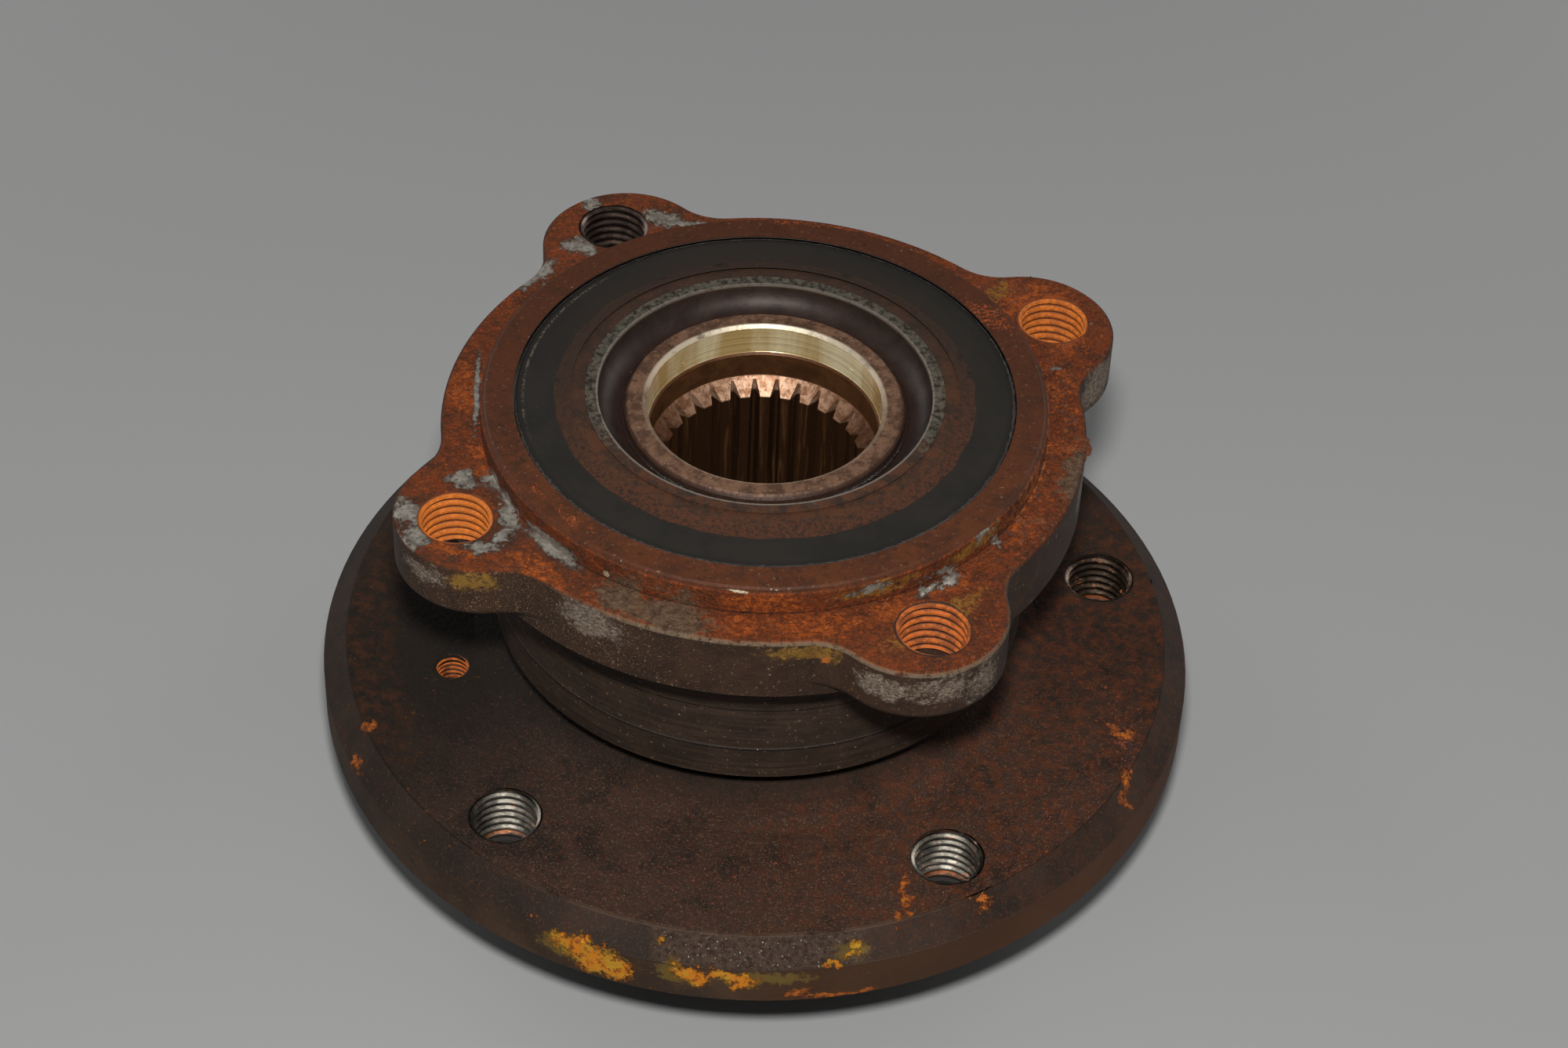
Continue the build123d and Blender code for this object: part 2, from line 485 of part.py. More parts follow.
def outboard_seal_case():
    """Steel case of the wheel-side seal, pressed in the outer ring's lower seal bore."""
    leg = RING_BOTTOM_Z + OUTBOARD_LEG_INSET
    rim = RING_BOTTOM_Z + SEAL_SEAT_DEPTH - LIP_CLEARANCE
    return turned([
        (SEAL_LEG_INNER_RADIUS, leg),
        (SEAL_BORE_RADIUS, leg),
        (SEAL_BORE_RADIUS, rim),
        (SEAL_BORE_RADIUS - SEAL_CASE_WALL, rim),
        (SEAL_BORE_RADIUS - SEAL_CASE_WALL, leg + SEAL_CASE_WALL),
        (SEAL_LEG_INNER_RADIUS, leg + SEAL_CASE_WALL),
    ])


def outboard_seal_lips():
    """Rubber under the case's leg: one lip rides on the hub's shoulder, one on its boss."""
    leg = RING_BOTTOM_Z + OUTBOARD_LEG_INSET
    top = leg + SEAL_CASE_WALL
    shoulder = INNER_SHOULDER_RADIUS + LIP_CLEARANCE
    boss = BOSS_Z + LIP_CLEARANCE
    edge = SEAL_LEG_INNER_RADIUS
    return turned([
        (edge + 3.6, leg),
        (edge, leg),
        (edge, top),
        (edge - 1.4, top + 0.2),
        (shoulder, top + 1.7),
        (shoulder, top + 1.2),
        (edge - 1.8, leg - 0.2),
        (edge - 0.6, leg - 0.6),
        (edge + 1.6, leg - 0.6),
        (edge + 2.9, boss),
        (edge + 3.4, boss),
        (edge + 3.6, leg - 1.0),
    ])


def parts():
    """Every piece by its node name."""
    pieces = {
        "wheel_hub": wheel_hub(),
        "inner_ring": inner_ring(),
        "outer_ring": outer_ring(),
        "cage_outboard": cage(OUTBOARD_ROW_Z, 1),
        "cage_inboard": cage(INBOARD_ROW_Z, -1),
        "inboard_seal_case": inboard_seal_case(),
        "inboard_seal_lips": inboard_seal_lips(),
        "inboard_slinger": inboard_slinger(),
        "magnetic_encoder": magnetic_encoder(),
        "outboard_seal_case": outboard_seal_case(),
        "outboard_seal_lips": outboard_seal_lips(),
    }
    for row, height in (("outboard", OUTBOARD_ROW_Z), ("inboard", INBOARD_ROW_Z)):
        for number, place in enumerate(ball_places(height), 1):
            pieces[f"ball_{row}_{number:02d}"] = place * Sphere(BALL_RADIUS)
    return pieces


os.makedirs("parts", exist_ok=True)
for node, piece in parts().items():
    export_step(piece, f"parts/{node}.step")
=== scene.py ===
"""Looks of a used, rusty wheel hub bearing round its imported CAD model.

Frame: metres, +Z is the turning axis and points inboard. The unit stands on its wheel
register at z = 0, and the reference view looks from -Y, from above. Shading works in
millimetres of the same frame.
"""

import math
import random

import bmesh
import bpy
from mathutils import Matrix, Vector, noise


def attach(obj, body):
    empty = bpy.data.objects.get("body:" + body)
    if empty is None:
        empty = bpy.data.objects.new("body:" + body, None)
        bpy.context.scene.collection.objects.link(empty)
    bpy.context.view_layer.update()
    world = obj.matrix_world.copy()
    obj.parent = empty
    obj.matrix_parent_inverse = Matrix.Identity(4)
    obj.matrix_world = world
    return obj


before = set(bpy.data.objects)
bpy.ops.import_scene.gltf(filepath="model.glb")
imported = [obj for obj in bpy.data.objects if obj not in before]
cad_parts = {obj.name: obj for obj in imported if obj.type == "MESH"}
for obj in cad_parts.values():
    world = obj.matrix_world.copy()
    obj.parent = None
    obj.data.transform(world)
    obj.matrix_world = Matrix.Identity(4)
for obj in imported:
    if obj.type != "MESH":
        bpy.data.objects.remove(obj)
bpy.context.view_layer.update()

MM = 0.001

# Places on the part, in millimetres. A circle of holes or rounds is its radius, count and
# first angle in degrees.
WHEEL_FACE_Z = 20.0
BACK_FACE_Z = 32.1
EAR_BOTTOM_Z = 68.7
KNUCKLE_FACE_Z = 78.5
CLAMP_FACE_Z = 83.8
ENCODER_FACE_Z = 82.9
PILOT_RADIUS = 45.2
KNUCKLE_FACE_RADIUS = 50.8
EAR_ROUND_RADIUS = 13.4
BACK_FACE_RADIUS = 68.5
BACK_FACE_BORE = 44.6
LUG_CIRCLE = (60.0, 5, 13.7)
EAR_CIRCLE = (54.0, 4, 29.5)
EAR_ROUNDS = (49.2, 4, 29.5)
SCREW_CIRCLE = (51.7, 1, 194.5)

# Threads: radius over the roots and pitch. A mouth is the clear radius round a hole.
BOLT_MAJOR, BOLT_PITCH, BOLT_MOUTH = 6.0, 1.5, 6.4
SCREW_MAJOR, SCREW_PITCH, SCREW_MOUTH = 3.0, 1.0, 3.4
THREAD_HEIGHT = 0.5413
# The lug threads are painted near black below this height: painted shade at the bottom of the
# holes.
THREAD_PAINTED_SHADE_TOP = 22.0

# The floor's colour near and far, the far one paler as painted light against the key lamp's
# fall-off, and what the world gives as light and as a backdrop.
FLOOR_NEAR, FLOOR_FAR = (0.272, 0.272, 0.269), (0.39, 0.39, 0.39)
WORLD_LIGHT, BACKDROP, BACKDROP_IN_GLOSS = 0.09, 0.16, 0.07
GROUND_STEEL = (190, 187, 182)


# ---------------------------------------------------------------- shading
def tint(red, green, blue):
    """A colour by its display values from 0 to 255."""
    return tuple(
        c / 12.92 if c <= 0.04045 else ((c + 0.055) / 1.055) ** 2.4
        for c in (red / 255, green / 255, blue / 255)
    )


class Value:
    """A number or a colour in a material's nodes. Working on it adds nodes."""

    def __init__(self, shade, socket):
        self.shade, self.socket = shade, socket

    def __add__(self, other):
        return self.shade.math("ADD", self, other)

    def __sub__(self, other):
        return self.shade.math("SUBTRACT", self, other)

    def __rsub__(self, other):
        return self.shade.math("SUBTRACT", other, self)

    def __mul__(self, other):
        return self.shade.math("MULTIPLY", self, other)

    def __truediv__(self, other):
        return self.shade.math("DIVIDE", self, other)

    def step(self, low, high):
        """0 below low and 1 above high, or the other way round where low > high."""
        inputs = {"Value": self, "From Min": low, "From Max": high}
        return self.shade.node("MapRange", inputs, interpolation_type="SMOOTHSTEP")

    def band(self, low, high, soft):
        """1 from low to high, 0 outside."""
        return self.step(low - soft, low + soft) * self.step(high + soft, high - soft)

    def mix(self, a, b):
        """Number a where this is 0, b where it is 1."""
        return self.shade.node("Mix", {0: self, 2: a, 3: b}, data_type="FLOAT")

    def blend(self, low, high, a, b):
        """Display colour a where this is below low, b where it is above high."""
        return self.shade.mix(self.step(low, high), tint(*a), tint(*b))

    def lay(self, over, amount):
        """This colour with another one, or a display colour, laid over it."""
        return self.shade.mix(amount, self, tint(*over) if isinstance(over, tuple) else over)

    def filter(self, *factors):
        """This colour with its channels multiplied."""
        return self.shade.mix(1.0, self, factors, "MULTIPLY")


def most(value, *others):
    for other in others:
        value = value.shade.math("MAXIMUM", value, other)
    return value


def length(x, y):
    return x.shade.math("SQRT", x * x + y * y)


class Shade:
    """One procedural material. Positions are millimetres in the part's frame."""

    def __init__(self, name):
        self.material = bpy.data.materials.new(name)
        self.material.use_nodes = True
        tree = self.material.node_tree
        self.nodes, self.links = tree.nodes, tree.links
        self.nodes.clear()
        output = self.nodes.new("ShaderNodeOutputMaterial")
        self.shader = self.nodes.new("ShaderNodeBsdfPrincipled")
        self.links.new(self.shader.outputs[0], output.inputs["Surface"])
        place = self.node("TexCoord", {}, "Object")
        self.place = self.node("VectorMath", {0: place, "Scale": 1000.0}, operation="SCALE")
        parts = self.nodes.new("ShaderNodeSeparateXYZ")
        self.put(parts.inputs[0], self.place)
        self.x, self.y, self.z = (Value(self, part) for part in parts.outputs)
        self.radius = length(self.x, self.y)
        self.warp = None
        self.flakes = None
        self.bends = {}

    def put(self, socket, value):
        """Links a value to an input, or sets the input."""
        if isinstance(value, Value):
            self.links.new(value.socket, socket)
        elif isinstance(value, tuple) and len(socket.default_value) == 4:
            socket.default_value = (*value, 1.0)
        else:
            socket.default_value = value

    def node(self, kind, inputs, output=0, **settings):
        """Adds a node and returns one of its outputs."""
        node = self.nodes.new("ShaderNode" + kind)
        for name, value in settings.items():
            setattr(node, name, value)
        for name, value in inputs.items():
            self.put(node.inputs[name], value)
        return Value(self, node.outputs[output])

    def math(self, kind, a, b=0.0, c=0.0):
        return self.node("Math", {0: a, 1: b, 2: c}, operation=kind)

    def mix(self, amount, a, b, kind="MIX"):
        """Colour a where the amount is 0, b where it is 1."""
        return self.node("Mix", {0: amount, 6: a, 7: b}, 2, data_type="RGBA", blend_type=kind)

    def noise(self, scale, detail=4.0, rough=0.6, stretch=(1, 1, 1), shift=(0, 0, 0), bend=0.0):
        place = self.place
        if stretch != (1, 1, 1) or shift != (0, 0, 0):
            place = self.node("Mapping", {"Vector": place, "Scale": stretch, "Location": shift})
        inputs = {"Vector": place, "Scale": scale, "Detail": detail, "Roughness": rough}
        return self.node("TexNoise", {**inputs, "Distortion": bend})

    def cells(self, scale):
        return self.node("TexVoronoi", {"Vector": self.place, "Scale": scale})

    def bent(self, ragged):
        """The position, pushed about by up to a third of ragged millimetres."""
        if ragged not in self.bends:
            if self.warp is None:
                shifts = (4, 7, 2), (9, 1, 6), (3, 8, 5)
                drifts = [self.noise(0.30, 5.0, 0.66, shift=shift) - 0.5 for shift in shifts]
                self.warp = self.node("CombineXYZ", dict(enumerate(drifts)))
            inputs = {0: self.warp, 1: (ragged, ragged, ragged), 2: self.place}
            self.bends[ragged] = self.node("VectorMath", inputs, operation="MULTIPLY_ADD")
        return self.bends[ragged]

    def patches(self, rows, ragged=6.0):
        """1 inside flaky-edged ellipsoids, 0 outside."""
        balls = []
        for row in rows:
            ball = self.nodes.new("ShaderNodeTexGradient")
            ball.gradient_type = "SPHERICAL"
            mapping = ball.texture_mapping
            mapping.vector_type = "TEXTURE"
            mapping.translation = row[:3]
            mapping.rotation = (0, 0, math.radians(row[6]))
            mapping.scale = tuple(1.4 * size for size in row[3:6])
            self.put(ball.inputs["Vector"], self.bent(ragged))
            balls = [most(*balls, Value(self, ball.outputs["Fac"]))]
        if self.flakes is None:
            self.flakes = (self.noise(1.3, 9.0, 0.80, shift=(1, 5, 9)) - 0.5) * 3.4
        return self.math("MULTIPLY_ADD", balls[0], 1.75, self.flakes).step(0.30, 0.86)

    def sector(self, angle, half_width, soft):
        """1 round a direction about the axis, 0 away from it. Angles are in degrees."""
        turned_x = self.x * math.cos(math.radians(angle))
        along = self.y * math.sin(math.radians(angle)) + turned_x
        inner = math.cos(math.radians(max(half_width - soft, 0.0)))
        outer = math.cos(math.radians(min(half_width + soft, 180.0)))
        return (along / most(self.radius, 0.001)).step(outer, inner)

    def finish(self, base, roughness, metallic, height=None, depth=0.1, sheen=0.5):
        """Sets the shader. depth is the bump's height in millimetres."""
        self.put(self.shader.inputs["Base Color"], base)
        self.put(self.shader.inputs["Roughness"], roughness)
        self.put(self.shader.inputs["Metallic"], metallic)
        self.shader.inputs["Specular IOR Level"].default_value = sheen
        if height is not None:
            bump = self.node("Bump", {"Strength": 1.0, "Distance": depth * MM, "Height": height})
            self.put(self.shader.inputs["Normal"], bump)
        return self.material


def rust_grain(shade, scale):
    """Fine pitted rust: mounds, pits and grit together, from 0 to 1."""
    mounds = shade.noise(scale, 6.0, 0.68)
    pits = shade.cells(scale * 1.7)
    grit = shade.noise(scale * 5, 3.0, 0.7, shift=(11, 4, 2))
    both = pits * 0.35 + mounds
    return grit * 0.3 + both


# Patches are ellipsoids with flaky edges. Each row is centre x, y, z, half lengths along x, y,
# z, and turn about z in degrees.

# Fresh orange rust on the hub.
HUB_FRESH_RUST = [
    (59.6, -22.2, 32, 2.2, 0.9, 3, -35),
    (61.8, -22.8, 32, 1.2, 0.8, 3, 10),
    (61.1, -32.6, 31, 0.9, 2.6, 4, -10),
    (60.6, -36.2, 31, 1.4, 1, 4, 30),
    (24.4, -57, 32, 0.8, 2.6, 4, -10),
    (24.9, -61, 32, 1.1, 2.2, 4, 10),
    (23.6, -64, 32, 0.8, 0.8, 4, 0),
    (37, -59.4, 32, 1.6, 0.8, 4, 35),
    (8.2, -72.3, 22.4, 2.6, 2, 1, 7),
    (15.5, -71, 21.4, 6, 2, 0.7, 15),
    (-64.1, -33, 32, 1.4, 2.6, 4, 10),
    (-62.4, -27.6, 32, 1.2, 1.2, 4, 0),
    (-33, -63.5, 31, 0.7, 0.4, 3, 0),
]
# Old yellow paint on the hub's rim.
HUB_YELLOW_PAINT = [
    (-8.6, -72.2, 26.6, 3.4, 2.4, 1.5, -6),
    (-7.4, -72.2, 25.4, 2.6, 2.4, 1.6, -6),
    (-2.4, -72.6, 26.3, 4.2, 2.4, 1.1, -2),
    (0.2, -72.6, 24.9, 2.2, 2.4, 1.3, 0),
    (-26, -67.8, 26.4, 5.2, 4, 2.3, -20),
    (-22.2, -69.2, 24.8, 5.2, 4, 3, -18),
    (-19.6, -69.9, 23.6, 2.4, 2.6, 2.4, -16),
    (-13, -69.6, 30.6, 0.8, 1, 0.7, 0),
    (17.2, -69, 30.4, 1.2, 1.2, 1.3, 30),
    (13.6, -70.6, 28.5, 1.4, 1, 0.5, 15),
    (16.4, -70.2, 28.6, 1, 1, 0.5, 15),
]
# Olive stain round the paint.
HUB_PAINT_STAIN = [
    (2, -72.6, 26, 8.5, 3, 1.4, -1),
    (-10.5, -71.6, 25.8, 3.6, 3, 2.4, -8),
    (-29.5, -66.2, 25.2, 3.4, 3, 2.2, -24),
    (16.6, -69.6, 29.6, 2.6, 1.6, 1.8, 20),
]


def hub_back_face(shade):
    """Scale: near black-brown, redder and speckled towards the front and right."""
    radius, cloud, grain, speck = shade.radius, shade.cloud, shade.grain, shade.speck
    broad = shade.noise(0.035, 3.0, 0.5)
    glitter = shade.noise(4.2, 2.0, 0.5, shift=(1, 7, 3))
    base = cloud.blend(0.38, 0.62, (27, 22, 18), (36, 28, 23))
    base = base.lay((43, 33, 26), broad.step(0.4, 0.62) * 0.6)
    outside = radius.step(38, 46)
    front = shade.sector(-78, 58, 26) * outside
    base = base.lay((26, 22, 18), shade.sector(-150, 34, 14) * 0.85)
    right = shade.sector(-28, 48, 26) * outside
    base = base.lay((56, 41, 34), front * cloud.step(0.36, 0.56) * 0.85)
    clumps = shade.noise(0.42, 8.0, 0.76, shift=(5, 5, 1)).step(0.42, 0.64)
    base = base.lay((84, 43, 20), right * clumps * 0.8)
    left = shade.sector(188, 20, 12) * radius.step(58, 64)
    base = base.lay((84, 47, 22), left * clumps * 0.45)
    red_specks = speck.step(0.53, 0.62) * most(front, right) * clumps.mix(0.55, 1.0)
    base = base.lay((98, 46, 27), red_specks * 0.55)
    pale_specks = shade.noise(2.7, 4.0, 0.7, shift=(6, 1, 8)).step(0.56, 0.64) * front
    base = base.lay((108, 88, 76), pale_specks * 0.65)
    hot_specks = speck.step(0.665, 0.72) * most(front * 0.6, right) * clumps
    base = base.lay((158, 82, 34), hot_specks)
    # Near-white specks, most of them at the front: painted glints.
    painted_glint_specks = glitter.step(0.715, 0.76) * most(front, 0.15) * outside
    base = base.lay((172, 158, 140), painted_glint_specks * 0.8)
    base = base.lay((29, 22, 18), grain.step(0.42, 0.34) * 0.5)
    return base.filter(0.86, 0.79, 0.68)


def hub_turned_edge(shade, base):
    """The turned chamfer and rim carry a smoother, greyer film, worn granular at the front."""
    z, radius, cloud, grain, speck = shade.z, shade.radius, shade.cloud, shade.grain, shade.speck
    chamfer = z.band(27.9, 32.0, 0.12) * radius.step(68.4, 68.8)
    rim = radius.step(72.3, 72.5) * z.step(28.2, 27.8)
    turned = most(chamfer, rim)
    film = shade.noise(0.08, 5.0, 0.6, shift=(5, 1, 8)).blend(
        0.38, 0.62, (30, 23, 18), (42, 32, 25)
    )
    film = film.lay((92, 56, 34), speck.step(0.6, 0.7) * 0.6)
    base = base.lay(film, chamfer * 0.66)
    # The upright rim takes the film made brighter: painted light, making up for the weaker light
    # that falls on the rim.
    base = base.lay(film.filter(2.3, 2.1, 1.75), rim * 0.9)
    base = base.lay((64, 41, 25), rim * shade.sector(-72, 16, 8) * 0.7)
    base = base.lay((86, 52, 32), rim * shade.sector(-30, 22, 12) * 0.6)
    along = shade.noise(0.5, 5.0, 0.7, shift=(1, 2, 8)) * 3.0 + shade.x
    facet = (
        along.step(-13.6, -11.2) * along.step(21.5, 17.0) * z.band(28.15, 31.7, 0.25)
        * shade.y.step(-60, -62)
    )
    coarse = shade.noise(1.3, 6.0, 0.75, shift=(4, 4, 4))
    worn = coarse.blend(0.36, 0.6, (48, 37, 31), (82, 66, 55))
    worn = worn.lay((104, 64, 48), speck.step(0.6, 0.66) * 0.7)
    # Near-white specks on the worn facet: painted glints.
    worn = worn.lay((188, 180, 168), shade.noise(2.6, 3.0, 0.6).step(0.655, 0.7))
    base = base.lay(worn, facet * grain.step(0.26, 0.36) * 0.92)
    # A pale line along the chamfer's top edge at the front: painted highlight.
    painted_edge_highlight = (
        z.band(31.7, 32.1, 0.1) * radius.step(68.3, 68.45) * shade.sector(-90, 26, 14)
        * cloud.step(0.4, 0.55)
    )
    base = base.lay((84, 66, 52), painted_edge_highlight * 0.5)
    return base, turned, facet, coarse


def hub_marks(shade, base):
    """Streaks of fresh orange rust and of old yellow paint, and how much they stand out."""
    grain, speck = shade.grain, shade.speck
    orange = shade.patches(HUB_FRESH_RUST)
    orange_tint = grain.blend(0.4, 0.66, (92, 46, 22), (180, 98, 28))
    base = base.lay(orange_tint, orange * 0.92)
    paint = shade.patches(HUB_YELLOW_PAINT)
    olive = shade.patches(HUB_PAINT_STAIN)
    base = base.lay((104, 84, 36), olive * 0.7)
    yellow = shade.noise(0.45, 5.0, 0.65, shift=(9, 9, 1)).blend(
        0.4, 0.6, (190, 112, 22), (172, 128, 36)
    )
    yellow = yellow.lay((112, 56, 22), grain.step(0.53, 0.6) * 0.85)
    yellow = yellow.lay((84, 50, 24), speck.step(0.44, 0.36) * 0.7)
    base = base.lay(yellow, paint * 0.95)
    return base, most(paint, orange * 0.6)


def hub_sleeve(shade, base):
    """Sleeve end, pilot bore, relief, splines and the ground seats, with a mask for each."""
    z, radius, cloud, speck = shade.z, shade.radius, shade.cloud, shade.speck
    sleeve = z.step(66.0, 66.5) * radius.step(23.6, 23.2)
    end_tint = shade.noise(0.45, 6.0, 0.7).blend(0.4, 0.62, (72, 51, 39), (108, 80, 62))
    end_tint = end_tint.lay((150, 128, 108), speck.step(0.58, 0.68) * 0.7)
    end_tint = end_tint.lay((62, 34, 26), speck.step(0.4, 0.32) * 0.7)
    wall = radius.step(21.7, 22.2) * z.step(81.3, 80.9)
    end_tint = end_tint.lay((46, 30, 24), wall * 0.85)
    base = base.lay(end_tint, sleeve)
    # Pale bare metal round the bore's top edge: real wear, with a painted highlight in how it
    # gathers at the back of the bore.
    bare_edge_and_glint = (
        radius.step(19.65, 19.3) * z.step(80.7, 80.85) * shade.sector(90, 70, 30).mix(0.15, 1.0)
    )
    base = base.lay((196, 182, 160), bare_edge_and_glint * cloud.step(0.3, 0.5))
    bore = radius.step(18.95, 18.85) * z.step(75.9, 76.0) * z.step(80.95, 80.8)
    bands = shade.noise(0.10, 4.0, 0.55, stretch=(1, 1, 0.15), bend=0.4)
    bore_tint = bands.blend(0.38, 0.62, (255, 240, 196), (204, 172, 112))
    bore_tint = bore_tint.lay((140, 96, 56), speck.step(0.64, 0.7) * 0.5)
    base = base.lay(bore_tint, bore)
    relief = radius.step(18.75, 18.6) * z.step(76.0, 75.8)
    relief_tint = cloud.blend(0.4, 0.6, (62, 38, 21), (84, 54, 30))
    base = base.lay(relief_tint, relief)
    teeth = radius.step(18.35, 18.25) * z.step(71.6, 71.4)
    copper = shade.noise(0.8, 5.0, 0.65).blend(0.4, 0.6, (126, 90, 66), (168, 134, 110))
    copper = copper.lay((92, 52, 32), speck.step(0.42, 0.34) * 0.8)
    lead_in = teeth * z.step(68.55, 68.8)
    # The tooth ends are darker away from the back of the bore: painted shade on the sides turned
    # from the light.
    copper = copper.lay((70, 40, 24), (1.0 - shade.sector(90, 48, 26)) * 0.8)
    flank = shade.noise(0.9, 3.0, 0.6, stretch=(1, 1, 0.06)).blend(
        0.52, 0.66, (46, 28, 15), (76, 50, 28)
    )
    base = base.lay(flank, teeth)
    base = base.lay(copper, lead_in * cloud.step(0.22, 0.42))
    ground = z.band(36.2, 66.0, 0.1) * radius.step(37.0, 36.0) * radius.step(20.5, 21.0)
    base = base.lay(GROUND_STEEL, ground)
    return base, sleeve, bare_edge_and_glint, bore, relief, teeth, lead_in, ground


def hub_material():
    """The wheel hub: scaled flange, filmed edge, worn sleeve end, bright bore and splines."""
    shade = Shade("hub_rusted_steel")
    radius = shade.radius
    shade.cloud = shade.noise(0.11, 6.0, 0.66, shift=(7, 3, 1), bend=0.5)
    shade.grain = shade.noise(0.75, 7.0, 0.72)
    shade.speck = shade.noise(1.9, 5.0, 0.72, shift=(3, 9, 5))
    base = hub_back_face(shade)
    base, turned, facet, coarse = hub_turned_edge(shade, base)
    base, raised = hub_marks(shade, base)
    base, sleeve, bare_edge_and_glint, bore, relief, teeth, lead_in, ground = hub_sleeve(shade, base)

    metallic = most(
        bore * 0.55, bare_edge_and_glint * 0.7, ground, relief * 0.35, lead_in * 0.55, sleeve * 0.15,
        facet * 0.2,
    )
    rough = turned.mix(shade.grain.mix(0.7, 0.92), 0.72)
    for mask, value in (
        (sleeve, 0.52), (most(relief, teeth), 0.46), (bore, 0.22), (ground, 0.18), (facet, 0.5),
    ):
        rough = mask.mix(rough, value)

    relief_height = rust_grain(shade, 0.85)
    lathe = shade.noise(1.0, 2.0, 0.5, stretch=(0.02, 0.02, 6.0))
    smooth = most(turned, sleeve, radius.step(24, 23))
    calm = lathe * 0.1 + relief_height * 0.2
    height = smooth.mix(relief_height, calm)
    height = facet.mix(height, coarse * 1.6)
    turning = shade.noise(1.0, 3.0, 0.6, stretch=(0.02, 0.02, 1.4))
    height = bore.mix(height, turning * 0.6)
    height = ground.mix(height, lathe * 0.02)
    height = raised * 0.35 + height
    return shade.finish(base, rough, metallic, height, 0.34, 0.15)


# Fresh orange rust on the knuckle face.
RING_FRESH_RUST = [
    (-1, -48, 78.4, 6, 2.4, 1.2, 2),
    (10, -47, 78.4, 7, 3, 1.2, 6),
    (21, -43, 80, 5.5, 2.6, 2.6, 25),
    (29.5, -37, 79.5, 4.6, 2.4, 2.2, 38),
    (-44.6, -11.4, 78.5, 2, 1.6, 1.5, -10),
    (-46.4, -34.3, 78.5, 4.4, 1.6, 1.5, -25),
    (-48.2, 4, 78.5, 2.8, 6, 2, 4),
    (-33.5, -37.5, 78.5, 5.5, 2.2, 1.4, -40),
    (44, 31.5, 78.5, 6, 5, 2, 20),
    (49, 22, 78.5, 3, 4.5, 2, 10),
    (47.6, 10.1, 78.5, 2.4, 4.6, 2, 5),
    (48.6, 2.8, 78.5, 2, 2.8, 2, 0),
    (47.4, -5, 78.5, 2.6, 1.6, 2, -10),
    (42.6, -15.5, 79.5, 1.2, 3.6, 2.4, -18),
    (40.6, -24.5, 79.5, 2.4, 3.4, 2.4, -35),
    (10.7, 48, 78.5, 3.4, 1.2, 1.4, -10),
    (-27, 58, 78, 3.6, 1.8, 1.4, 20),
    (-44.5, -40.5, 77.8, 2.4, 1.4, 1.2, 30),
]
# Two patches of it with a sharper edge.
RING_SHARP_RUST = [
    (1, -45.2, 80.5, 7.2, 4.6, 1.9, 2),
    (-43.6, -15.6, 78.5, 1.7, 1.4, 1.5, -10),
]
# Grey-brown scale.
RING_DULL_SCALE = [
    (-13.5, -46.5, 79.2, 8, 3.6, 3.6, -18),
    (-20.5, -43, 79.2, 4.5, 3.4, 3.6, -28),
    (49.2, -11.5, 78, 2.4, 7, 2.6, -12),
]
# Dark, crumbled rust.
RING_CRUMBLED = [
    (35, -48, 78.5, 9, 6, 2, -50),
    (46.5, 4, 78.5, 4, 10, 2, 5),
]
# Olive stain.
RING_OLIVE_STAIN = [
    (-43.5, -40.2, 76, 5, 4, 2, -35),
    (18.5, -42.4, 81, 8, 2.6, 1.4, 25),
    (34, -31, 81, 7, 2.6, 1.4, 42),
    (38.4, 33.5, 78.5, 2.8, 1.8, 1.6, 40),
    (9, -50.9, 76.4, 8, 2, 1.6, 9),
    (27, -45, 78.5, 10, 2, 1.2, 40),
]
# Bare metal where the knuckle rubbed.
RING_BARE_METAL = [
    (-46.6, -17.6, 78.5, 2.4, 1.6, 1.5, -10),
    (-40.8, -17.8, 78.5, 2.6, 2.4, 1.5, 10),
    (-39, -25, 78.5, 1.5, 5.6, 1.5, 10),
    (-39.8, -31, 78.5, 1.2, 2.6, 1.5, -20),
    (-42.2, -33.2, 78.5, 2.4, 1.3, 1.5, -20),
    (-54.6, -25.6, 78.5, 2.2, 3.4, 1.5, 20),
    (-52.8, -31.2, 78.5, 2.2, 2.4, 1.5, 30),
    (-18.6, 49.8, 78.5, 3.6, 2.4, 1.5, -10),
    (-14, 48.4, 78.5, 4.5, 0.8, 1.5, -8),
    (-31.2, 53, 78.5, 2.2, 1.6, 1.5, -20),
    (-33, 41.4, 78.5, 2.4, 2, 1.5, 40),
    (-30.4, 40.6, 78.5, 1.4, 1.6, 1.5, 40),
    (-38.6, 33.4, 78.5, 4.6, 1.4, 1.5, 52),
    (46.8, 14.4, 78.5, 0.9, 0.9, 1.5, 0),
    (45.2, -1.8, 79.5, 0.5, 1.6, 1.6, 0),
    (17, -41.8, 81.5, 3.4, 1, 0.7, 20),
    (27.5, -37.2, 79.2, 5, 1.3, 1.1, 38),
    (34.2, -29.4, 81.6, 2.4, 0.9, 0.8, 48),
    (36.5, -27.5, 78.8, 1.2, 0.9, 1, 0),
    (-35, 27, 78.5, 1.2, 5, 1.2, 20),
]
# Narrow rubbed lines.
RING_RUBBED_LINES = [
    (-31.6, -32.6, 78.9, 6.4, 1.4, 1.5, -46),
    (-46.2, 3, 78.5, 0.5, 9.5, 1.2, 3),
]
# Scraped sides of the flange and ears.
RING_SCRAPED_SIDE = [
    (28.5, -59, 75.4, 9.5, 4, 3, 18),
    (36.5, -54.5, 74, 5, 4.5, 5, 35),
    (19, -55.5, 74.5, 4.6, 4, 2.2, -20),
    (-53, -37.5, 75.5, 6, 4.4, 2.2, -35),
    (-26, -45.6, 75, 6, 4, 3, -30),
    (53, 18, 74, 7, 5, 4.5, -70),
    (51.5, -9, 74, 2, 5, 4, -10),
]
